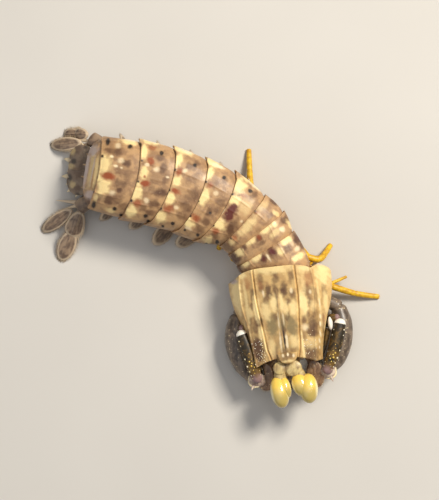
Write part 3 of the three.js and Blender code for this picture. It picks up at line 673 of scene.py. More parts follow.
class Board:
    """A node tree, and the ways to add to it."""

    def __init__(self, tree: bpy.types.NodeTree) -> None:
        """Takes the tree to add nodes to."""
        self.tree = tree

    def node(self, kind: str, settings: Optional[dict[str, Any]] = None, **sockets: Any) -> bpy.types.Node:
        """Adds a node.

        Args:
            kind: The node's type.
            settings: Its settings, which are set first.
            sockets: Values or links by socket name, with _ for a space, or by in_ and the socket's number.

        Returns:
            The node.
        """
        made = self.tree.nodes.new(kind)
        for key, value in (settings or {}).items():
            setattr(made, key, value)
        for key, value in sockets.items():
            number = key[3:] if key.startswith("in_") else ""
            socket = made.inputs[int(number)] if number.isdigit() else made.inputs[key.replace("_", " ")]
            if isinstance(value, Wire):
                self.tree.links.new(value.socket, socket)
            else:
                socket.default_value = value
        return made

    def out(self, node: bpy.types.Node, name: Any = 0) -> Wire:
        """One of a node's outputs, by name or number."""
        return Wire(self, node.outputs[name])

    def maths(self, operation: str, *values: Any, clamp: bool = False) -> Wire:
        """A Math node's result."""
        sockets = {f"in_{number}": value for number, value in enumerate(values)}
        made = self.node("ShaderNodeMath", {"operation": operation, "use_clamp": clamp}, **sockets)
        return self.out(made)

    def clamp(self, value: Wire) -> Wire:
        """The value kept between 0 and 1."""
        return self.maths("ADD", value, 0.0, clamp=True)

    def step(self, value: Wire, start: float, end: float) -> Wire:
        """A smooth step from 0 at start to 1 at end, which may lie below it."""
        low, high, first, last = (start, end, 0.0, 1.0) if start < end else (end, start, 1.0, 0.0)
        made = self.node(
            "ShaderNodeMapRange",
            {"interpolation_type": "SMOOTHSTEP"},
            Value=value,
            From_Min=low,
            From_Max=high,
            To_Min=first,
            To_Max=last,
        )
        return self.out(made)

    def mix(self, factor: Any, first: Any, last: Any) -> Wire:
        """A mix of two colours."""
        first, last = (value if isinstance(value, Wire) else (*value, 1.0) for value in (first, last))
        made = self.node(
            "ShaderNodeMix",
            {"data_type": "RGBA", "clamp_factor": True},
            in_0=factor,
            in_6=first,
            in_7=last,
        )
        return self.out(made, 2)

    def attribute(self, name: str) -> Wire:
        """A number that the mesh carries."""
        return self.out(self.node("ShaderNodeAttribute", {"attribute_name": name}), "Fac")

    def place(self) -> tuple[Wire, Wire, Wire]:
        """The three numbers of a point's place on its piece."""
        read = self.out(self.node("ShaderNodeAttribute", {"attribute_name": "place"}), "Vector")
        parts = self.node("ShaderNodeSeparateXYZ", Vector=read)
        return self.out(parts, 0), self.out(parts, 1), self.out(parts, 2)

    def here(self, stretch: Colour = (1.0, 1.0, 1.0)) -> Wire:
        """Object coordinates in millimetres, stretched along each axis."""
        read = self.out(self.node("ShaderNodeTexCoord"), "Object")
        scale = tuple(1000.0 * part for part in stretch)
        return self.out(self.node("ShaderNodeMapping", None, Vector=read, Scale=scale))

    def noise(
        self, where: Wire, size: float, detail: float = 3.0, rough: float = 0.5, warp: float = 0.0
    ) -> Wire:
        """Cloudy noise with features of a size in millimetres."""
        values = {"Scale": 1.0 / size, "Detail": detail, "Roughness": rough, "Distortion": warp}
        return self.out(self.node("ShaderNodeTexNoise", None, Vector=where, **values), 0)

    def cells(self, where: Wire, size: float) -> Wire:
        """Distance to the nearest cell middle, for cells of a size in millimetres."""
        made = self.node("ShaderNodeTexVoronoi", None, Vector=where, Scale=1.0 / size)
        return self.out(made, "Distance")

    def join(self, across: Any, along: Any, up: Any = 0.0) -> Wire:
        """Three numbers as a vector."""
        return self.out(self.node("ShaderNodeCombineXYZ", None, in_0=across, in_1=along, in_2=up))


# Small shapes that repeat


class Growth(Board):
    """A Geometry Nodes tree that grows small shapes on a guide, with named inputs."""

    def __init__(self, name: str, inputs: dict[str, str]) -> None:
        """Starts the tree.

        Args:
            name: The tree's name.
            inputs: The kind of socket for each named input, after the guide and before the material.
        """
        super().__init__(bpy.data.node_groups.new(name, "GeometryNodeTree"))
        for label, kind in {"Guide": "Geometry", **inputs, "Material": "Material"}.items():
            self.tree.interface.new_socket(label, in_out="INPUT", socket_type=f"NodeSocket{kind}")
        self.tree.interface.new_socket("Result", in_out="OUTPUT", socket_type="NodeSocketGeometry")
        self.inputs = self.tree.nodes.new("NodeGroupInput")

    def given(self, name: str) -> Wire:
        """One of the tree's inputs."""
        return self.out(self.inputs, name)

    def carried(self, name: str, kind: str = "FLOAT") -> Wire:
        """An attribute that the guide carries."""
        return self.out(self.node("GeometryNodeInputNamedAttribute", {"data_type": kind}, Name=name))

    def drawn(self, kind: str, low: Any, high: Any) -> Wire:
        """A random value between two, which differs from shape to shape by the input Seed."""
        first, output = (2, 1) if kind == "FLOAT" else (0, 0)
        ends = {f"in_{first}": low, f"in_{first + 1}": high}
        made = self.node("FunctionNodeRandomValue", {"data_type": kind}, Seed=self.given("Seed"), **ends)
        return self.out(made, output)

    def uneven(self) -> Wire:
        """A factor about 1 that differs from shape to shape."""
        spread = self.given("Unevenness")
        return self.drawn("FLOAT", 1.0 - spread, spread + 1.0)

    def astray(self) -> Wire:
        """A small vector that differs from shape to shape."""
        spread = self.given("Unevenness")
        low, high = -spread, spread
        return self.drawn("FLOAT_VECTOR", self.join(low, low, low), self.join(high, high, high))

    def stepped(self, spacing: str) -> Wire:
        """The guide's lines with points at even steps, as far apart as an input says."""
        line = self.out(self.node("GeometryNodeMeshToCurve", Mesh=self.given("Guide")))
        even = {"Curve": line, "Length": self.given(spacing)}
        return self.out(self.node("GeometryNodeResampleCurve", {"mode": "LENGTH"}, **even))

    def beaded(self, points: Wire, size: Wire, segments: int, rings: int) -> bpy.types.NodeTree:
        """Ends the tree with a small ball of a size on each point."""
        bead = self.node("GeometryNodeMeshUVSphere", Segments=segments, Rings=rings, Radius=1.0)
        beads = {"Points": points, "Instance": self.out(bead), "Scale": self.join(size, size, size)}
        return self.ripe(self.out(self.node("GeometryNodeInstanceOnPoints", **beads)))

    def ripe(self, shapes: Wire) -> bpy.types.NodeTree:
        """Ends the tree: real faces in the material that is given."""
        real = self.node("GeometryNodeRealizeInstances", Geometry=shapes)
        smooth = self.node("GeometryNodeSetShadeSmooth", Geometry=self.out(real))
        dressed = self.node(
            "GeometryNodeSetMaterial", Geometry=self.out(smooth), Material=self.given("Material")
        )
        self.node("NodeGroupOutput", Result=self.out(dressed))
        return self.tree


def beads_tree() -> bpy.types.NodeTree:
    """A bead on each point of the guide, as large as the guide's size says."""
    made = Growth("beads", {"Scale": "Float", "Unevenness": "Float", "Seed": "Int"})
    size = made.carried("size") * made.given("Scale") * made.uneven()
    return made.beaded(made.given("Guide"), size, 8, 5)


def granules_tree() -> bpy.types.NodeTree:
    """Granules strewn over the faces of the guide where its cover is high."""
    inputs = {"Density": "Float", "Radius": "Float", "Unevenness": "Float", "Seed": "Int"}
    made = Growth("granules", inputs)
    strewn = made.node(
        "GeometryNodeDistributePointsOnFaces",
        {"distribute_method": "RANDOM"},
        Mesh=made.given("Guide"),
        Density=made.given("Density") * made.carried("cover"),
        Seed=made.given("Seed"),
    )
    return made.beaded(made.out(strewn), made.given("Radius") * made.uneven(), 7, 4)


def bristles_tree() -> bpy.types.NodeTree:
    """Hairs at even steps along the guide's lines, pointing the way that the guide says."""
    inputs = {"Spacing": "Float", "Radius": "Float", "Unevenness": "Float", "Seed": "Int"}
    made = Growth("bristles", inputs)
    cone = {"Vertices": 4, "Radius_Top": 0.15, "Radius_Bottom": 1.0, "Depth": 1.0}
    hair = made.node("GeometryNodeMeshCone", {"fill_type": "NGON"}, **cone)
    ways = {"in_0": made.carried("way", "FLOAT_VECTOR"), "in_1": made.astray()}
    way = made.node("ShaderNodeVectorMath", {"operation": "ADD"}, **ways)
    turn = made.node("FunctionNodeAlignRotationToVector", {"axis": "Z"}, Vector=made.out(way))
    radius = made.given("Radius")
    hairs = made.node(
        "GeometryNodeInstanceOnPoints",
        Points=made.stepped("Spacing"),
        Instance=made.out(hair),
        Rotation=made.out(turn),
        Scale=made.join(radius, radius, made.carried("size") * made.uneven()),
    )
    return made.ripe(made.out(hairs))


def whips_tree() -> bpy.types.NodeTree:
    """A ringed whip along each line of the guide, as thick as the guide's size says."""
    made = Growth("whips", {"Step": "Float", "Ring": "Float", "Depth": "Float"})
    index = made.out(made.node("GeometryNodeInputIndex"))
    wave = made.maths("SINE", index * made.given("Step") / made.given("Ring") * math.tau)
    profile = made.node("GeometryNodeCurvePrimitiveCircle", Resolution=9, Radius=1.0)
    skin = made.node(
        "GeometryNodeCurveToMesh",
        Curve=made.stepped("Step"),
        Profile_Curve=made.out(profile),
        Scale=made.carried("size") * (wave * made.given("Depth") + 1.0),
        Fill_Caps=True,
    )
    return made.ripe(made.out(skin))


class Guide:
    """Lines or loose points that a tree grows small shapes on, with a way and a size in millimetres."""

    def __init__(self) -> None:
        """Starts an empty guide."""
        self.points: list[Vec] = []
        self.ways: list[Vec] = []
        self.sizes: list[Vec] = []
        self.edges: list[tuple[int, int]] = []
        self.count = 0

    def line(self, points: Vec, ways: Any, sizes: Any, joined: bool = True) -> None:
        """Adds a row of points.

        Args:
            points: The points in millimetres.
            ways: The direction at each, or one for all.
            sizes: The size at each, or one for all.
            joined: Whether the points make a line.
        """
        points = np.atleast_2d(points)
        self.points.append(points)
        self.ways.append(np.broadcast_to(ways, points.shape))
        self.sizes.append(np.broadcast_to(sizes, len(points)))
        if joined:
            self.edges += [(self.count + k, self.count + k + 1) for k in range(len(points) - 1)]
        self.count += len(points)

    def rim(self, axes: Axes, outline: Vec, size: float, start: float = 0.35, bend: Bend = level) -> None:
        """Adds the outer stretch of a plate's edge.

        Args:
            axes: Where the plate lies.
            outline: Its outline as across and along.
            size: The length of the shapes that grow there.
            start: Where along the plate the stretch begins, as a share.
            bend: How far the plate is lifted at a point.
        """
        low, high = outline[:, 1].min(), outline[:, 1].max()
        flat = outline[outline[:, 1] > between(low, high, start)]
        out = unit(unit(flat - outline.mean(0)) + np.array([0.0, 0.5]))
        up = bend(flat[:, 0], flat[:, 1])
        ways = out[:, :1] * axes.across + out[:, 1:] * axes.along
        self.line(axes.point(flat[:, 0], flat[:, 1], up) - 0.12 * ways, ways, size)

    def mesh(self) -> bpy.types.Mesh:
        """The guide as a mesh in metres."""
        made = bpy.data.meshes.new("guide")
        points = (np.vstack(self.points) - MIDDLE) * MILLIMETRE
        made.from_pydata(points.tolist(), self.edges, [])
        carry(made, "way", np.vstack(self.ways))
        carry(made, "size", np.concatenate(self.sizes) * MILLIMETRE)
        return made


def grow(
    name: str,
    guide: bpy.types.Mesh,
    tree: Callable[[], bpy.types.NodeTree],
    finish: "Finish",
    slot: Slot,
    **values: Any,
) -> None:
    """Grows a piece on a guide, as a plain mesh.

    Args:
        name: The piece's name.
        guide: The guide as a mesh.
        tree: What makes the node tree.
        finish: What the piece is finished in.
        slot: The record's slot for that finish.
        values: The tree's inputs by name.
    """
    holder = bpy.data.objects.new(f"{name}_guide", guide)
    bpy.context.scene.collection.objects.link(holder)
    modifier = holder.modifiers.new("growth", "NODES")
    label = tree.__name__.replace("_tree", "")
    modifier.node_group = bpy.data.node_groups.get(label) or tree()
    values["Material"] = finish.material()
    for socket in modifier.node_group.interface.items_tree:
        if socket.in_out == "INPUT" and socket.name in values:
            modifier[socket.identifier] = values[socket.name]
    ready = bpy.context.evaluated_depsgraph_get()
    mesh = bpy.data.meshes.new_from_object(holder.evaluated_get(ready), depsgraph=ready)
    holder.modifiers.remove(modifier)
    bpy.data.objects.remove(holder)
    spots = np.zeros(len(mesh.vertices) * 3, np.float32)
    mesh.vertices.foreach_get("co", spots)
    spots[2::3] = np.maximum(spots[2::3], 0.0)
    mesh.vertices.foreach_set("co", spots)
    put(name, mesh, finish, slot)


# Finishes


def tint(red: float, green: float, blue: float) -> Colour:
    """A colour as it looks, in the linear numbers that a shader takes."""
    return tuple(
        part / 12.92 if part <= 0.04045 else ((part + 0.055) / 1.055) ** 2.4 for part in (red, green, blue)
    )


# How far red, green and blue light goes into the shell, and the depth of the farthest in metres.
SOFT_REACH = (1.0, 0.6, 0.35)
SOFT_DEPTH = 0.0012


@dataclass(frozen=True)
class Surface:
    """What a finish gives the shader: its colour, roughness and height over the surface."""

    colour: Wire
    rough: Wire
    height: Wire


@dataclass(frozen=True)
class Finish:
    """A finish of the animal, with the numbers that are the same all over it."""

    name: str
    coat: float = 0.08
    coat_rough: float = 0.3
    soft: float = 0.06
    shine: float = 0.5
    relief: float = 0.12
    strength: float = 0.6

    def surface(self, board: Board) -> Surface:
        """What varies over the surface. Each finish gives its own."""
        raise NotImplementedError

    def material(self) -> bpy.types.Material:
        """The finish as a material, made once."""
        label = f"{self.name}_finish"
        known = bpy.data.materials.get(label)
        if known is not None:
            return known
        made = bpy.data.materials.new(label)
        made.use_nodes = True
        made.node_tree.nodes.clear()
        board = Board(made.node_tree)
        face = self.surface(board)
        sockets: dict[str, Any] = {
            "Base_Color": face.colour,
            "Roughness": face.rough,
            "Coat_Weight": self.coat,
            "Coat_Roughness": self.coat_rough,
            "Specular_IOR_Level": self.shine,
            "Subsurface_Weight": self.soft,
            "Subsurface_Radius": SOFT_REACH,
            "Subsurface_Scale": SOFT_DEPTH,
        }
        dents = {"Strength": self.strength, "Distance": self.relief * MILLIMETRE}
        sockets["Normal"] = board.out(board.node("ShaderNodeBump", None, Height=face.height, **dents))
        shader = board.node("ShaderNodeBsdfPrincipled", None, **sockets)
        board.node("ShaderNodeOutputMaterial", None, Surface=board.out(shader))
        return made


@dataclass(frozen=True)
class BackShell(Finish):
    """The mottled shell of the back: cream and tan with umber clouds, rust spots, dark pits, and pale pearl
    marks, some of them painted highlights.
    """

    ground: Colour = tint(0.75, 0.59, 0.41)
    dusk: Colour = tint(0.56, 0.42, 0.30)
    umber: Colour = tint(0.34, 0.21, 0.13)
    moss: Colour = tint(0.56, 0.48, 0.32)
    cream: Colour = tint(1.0, 0.88, 0.62)
    rust: Colour = tint(0.60, 0.27, 0.09)
    wine: Colour = tint(0.36, 0.11, 0.08)
    lilac: Colour = tint(0.80, 0.72, 0.69)
    soot: Colour = tint(0.10, 0.06, 0.05)
    pearl: Colour = tint(0.98, 0.89, 0.72)
    mottle: float = 2.6

    def surface(self, board: Board) -> Surface:
        """Clouds and speckles over the painted layers."""
        where = board.here()
        clouds = board.noise(where, self.mottle, 4.0, 0.55, 0.3)
        grain = board.noise(where, 0.45, 3.0, 0.6)
        specks = board.cells(where, 0.5)
        torn = (grain - 0.5) * 0.3 + (clouds - 0.5) * 0.35
        colour = board.mix(board.step(clouds, 0.4, 0.62) * 0.7, self.ground, self.dusk)
        # Each pigment layer over the ground; the pearl layer is partly real pale marks and partly painted
        # highlight.
        for pigment in Pigment:
            cover = board.clamp(board.attribute(pigment.value) * (1.15 + torn * 1.3))
            colour = board.mix(cover * 0.96, colour, getattr(self, pigment.value))
        colour = board.mix(board.step(specks, 0.22, 0.05) * 0.3, colour, self.umber)
        colour = board.mix(board.step(grain, 0.6, 0.8) * 0.25, colour, self.pearl)
        pits = board.step(board.cells(where, 0.62), 0.0, 0.3)
        height = pits * 0.55 + grain * 0.3 + clouds * 0.5
        rough = 0.38 + grain * 0.22
        return Surface(colour, rough, height)


@dataclass(frozen=True)
class Belly(Finish):
    """The pale, horny underside."""

    pale: Colour = tint(0.84, 0.74, 0.58)
    dim: Colour = tint(0.60, 0.48, 0.35)

    def surface(self, board: Board) -> Surface:
        """Cloudy horn with fine creases."""
        where = board.here()
        clouds = board.noise(where, 1.8, 4.0, 0.55)
        creases = board.noise(board.here((1.0, 1.0, 3.0)), 0.5, 3.0, 0.6)
        colour = board.mix(board.step(clouds, 0.38, 0.68), self.pale, self.dim)
        return Surface(colour, 0.42 + creases * 0.2, creases * 0.7 + clouds * 0.4)


@dataclass(frozen=True)
class ClearShell(Finish):
    """Thin horny shell with pale specks, as on the arms, the feelers and the stems of the eyes."""

    light: Colour = tint(0.52, 0.45, 0.38)
    dark: Colour = tint(0.30, 0.25, 0.21)
    speck: Colour = tint(0.96, 0.88, 0.68)
    specked: float = 0.8

    def surface(self, board: Board) -> Surface:
        """Smoky clouds and fine rays with scattered specks."""
        where = board.here()
        clouds = board.noise(where, 2.4, 4.0, 0.5, 0.4)
        fine = board.noise(where, 0.5, 2.0, 0.6)
        rays = board.noise(board.here((1.0, 0.12, 1.0)), 0.5, 2.0, 0.5)
        specks = board.step(board.cells(where, 0.8), 0.26, 0.12) * board.step(clouds, 0.42, 0.55)
        colour = board.mix(board.step(clouds * 0.7 + rays * 0.3, 0.36, 0.62), self.dark, self.light)
        colour = board.mix(specks * self.specked, colour, self.speck)
        colour = board.mix(board.attribute("pearl"), colour, self.speck)
        return Surface(colour, 0.28 + fine * 0.2, fine * 0.5 + specks * 0.6)


@dataclass(frozen=True)
class Hand(Finish):
    """The dark olive shell of the claw's hand and finger, lilac at the root and white at the far end."""

    coat: float = 0.12
    shine: float = 0.35
    olive: Colour = tint(0.44, 0.33, 0.15)
    dark: Colour = tint(0.17, 0.135, 0.07)
    lilac: Colour = tint(0.62, 0.50, 0.52)
    white: Colour = tint(0.97, 0.94, 0.88)

    def surface(self, board: Board) -> Surface:
        """Olive shell that is darker towards its far end and white at the very end."""
        where = board.here()
        around, along, beyond = board.place()
        clouds = board.noise(where, 1.6, 4.0, 0.5, 0.3)
        fine = board.noise(where, 0.4, 2.0, 0.6)
        end = board.step(along + beyond * 0.2 + fine * 0.06, 1.03, 1.08)
        tip = board.clamp(end + board.attribute("pearl"))
        colour = board.mix(board.step(clouds + along * -0.35, 0.2, 0.5), self.dark, self.olive)
        colour = board.mix(board.step(along + clouds * 0.2, 0.24, 0.08) * 0.75, colour, self.lilac)
        colour = board.mix(tip, colour, self.white)
        return Surface(colour, 0.42 + fine * 0.16, fine * 0.4 + clouds * 0.3)


@dataclass(frozen=True)
class YellowLeg(Finish):
    """The bright yellow of the walking legs."""

    bright: Colour = tint(0.92, 0.74, 0.13)
    deep: Colour = tint(0.74, 0.53, 0.07)

    def surface(self, board: Board) -> Surface:
        """Yellow with deeper clouds."""
        where = board.here()
        clouds = board.noise(where, 1.3, 4.0, 0.55)
        fine = board.noise(where, 0.35, 2.0, 0.6)
        colour = board.mix(board.step(clouds + fine * 0.3, 0.45, 0.85), self.bright, self.deep)
        return Surface(colour, 0.36 + fine * 0.2, fine * 0.5 + clouds * 0.3)


@dataclass(frozen=True)
class Fin(Finish):
    """The thin grey-brown blades of the tail fan and the swimming limbs."""

    grey: Colour = tint(0.62, 0.52, 0.42)
    dark: Colour = tint(0.42, 0.34, 0.28)
    pale: Colour = tint(0.83, 0.74, 0.62)

    def surface(self, board: Board) -> Surface:
        """Cloudy grey with fine rays from the root and a pale rim."""
        where = board.here()
        across, along, rim = board.place()
        clouds = board.noise(where, 1.9, 4.0, 0.55, 0.3)
        fine = board.noise(where, 0.4, 2.0, 0.6)
        fan = across / (abs(along) + 2.5)
        rays = board.noise(board.join(fan * 14.0, along * 0.2, 0.0), 1.0, 2.0, 0.5)
        colour = board.mix(board.step(clouds * 0.55 + rays * 0.45, 0.4, 0.6), self.dark, self.grey)
        colour = board.mix(board.step(rays, 0.6, 0.75) * 0.35, colour, self.pale)
        edge = board.step(rim + fine * 0.16, 0.86, 1.02) * 0.8
        colour = board.mix(board.clamp(edge + board.attribute("pearl")), colour, self.pale)
        return Surface(colour, 0.34 + fine * 0.2, rays * 0.8 + fine * 0.3 + clouds * 0.3)


@dataclass(frozen=True)
class Bristle(Finish):
    """The pale hairs along the edges of the fins and limbs."""

    hair: Colour = tint(0.80, 0.70, 0.55)
    root: Colour = tint(0.55, 0.44, 0.33)

    def surface(self, board: Board) -> Surface:
        """Straw that varies from hair to hair."""
        fine = board.noise(board.here(), 0.7, 2.0, 0.6)
        colour = board.mix(board.step(fine, 0.35, 0.6), self.root, self.hair)
        return Surface(colour, 0.5 + fine * 0.1, fine)


@dataclass(frozen=True)
class Bead(Finish):
    """The small shining beads of the claws and of the shield's front."""

    bright: Colour = tint(0.99, 0.95, 0.86)
    warm: Colour = tint(0.93, 0.84, 0.62)
    coat: float = 0.4

    def surface(self, board: Board) -> Surface:
        """One tone that varies from bead to bead."""
        fine = board.noise(board.here(), 0.9, 2.0, 0.5)
        colour = board.mix(board.step(fine, 0.4, 0.6), self.warm, self.bright)
        return Surface(colour, 0.22 + fine * 0.1, fine)


@dataclass(frozen=True)
class Cornea(Finish):
    """The glossy yellow eyes with their fine facets."""

    coat: float = 0.8
    coat_rough: float = 0.06
    yellow: Colour = tint(0.98, 0.82, 0.37)
    olive: Colour = tint(0.72, 0.64, 0.37)
    cream: Colour = tint(0.98, 0.93, 0.72)

    def surface(self, board: Board) -> Surface:
        """Yellow fading to grey-olive, with cream sides and facets."""
        where = board.here()
        across, along, up = board.place()
        clouds = board.noise(where, 2.6, 3.0, 0.5)
        facets = board.cells(where, 0.22)
        fading = board.step(along * -1.0 + clouds * 0.5, -0.1, 0.75) * 0.85
        colour = board.mix(fading, self.yellow, self.olive)
        colour = board.mix(board.step(abs(across) + clouds * 0.12, 0.7, 0.98) * 0.85, colour, self.cream)
        return Surface(colour, 0.16 + clouds * 0.08, board.step(facets, 0.0, 0.5) * 0.3)


HEAD_SHELL = BackShell("head_shell", ground=tint(0.86, 0.71, 0.46), dusk=tint(0.72, 0.56, 0.35))
# Painted shade: the tail plate wears a darker, greyer copy of the back's shell, as though it lay in shadow.
SHADED_TAIL_SHELL = BackShell("tail_shell", ground=tint(0.56, 0.48, 0.40), dusk=tint(0.40, 0.33, 0.27))
EYE_RING_SHELL = ClearShell(
    "eye_ring_shell", light=tint(0.84, 0.72, 0.50), dark=tint(0.50, 0.38, 0.26), specked=0.3
)
EYE_STEM_SHELL = ClearShell(
    "eye_stem", light=tint(0.84, 0.74, 0.50), dark=tint(0.58, 0.47, 0.31), specked=0.2
)
FEELER_SHELL = ClearShell("feeler_shell", light=tint(0.62, 0.49, 0.37), dark=tint(0.40, 0.29, 0.21))
WRIST_SHELL = ClearShell(
    "wrist_shell", light=tint(0.84, 0.76, 0.68), dark=tint(0.58, 0.47, 0.42), specked=0.5
)
BRISTLE = Bristle("bristle", coat=0.0)
WHITE_BEAD = Bead("white_bead")
GOLD_BEAD = Bead("gold_bead", bright=tint(0.98, 0.86, 0.42), warm=tint(0.90, 0.68, 0.24))
# What the node trees are given: lengths in metres.
FAN_HAIRS = {"Spacing": 0.00013, "Radius": 0.00006, "Unevenness": 0.22, "Seed": 4}
LIMB_HAIRS = {"Spacing": 0.00016, "Radius": 0.00005, "Unevenness": 0.25, "Seed": 7}

# Where the pigments lie, seen from above in dots: right, down, half width, half length, strength.

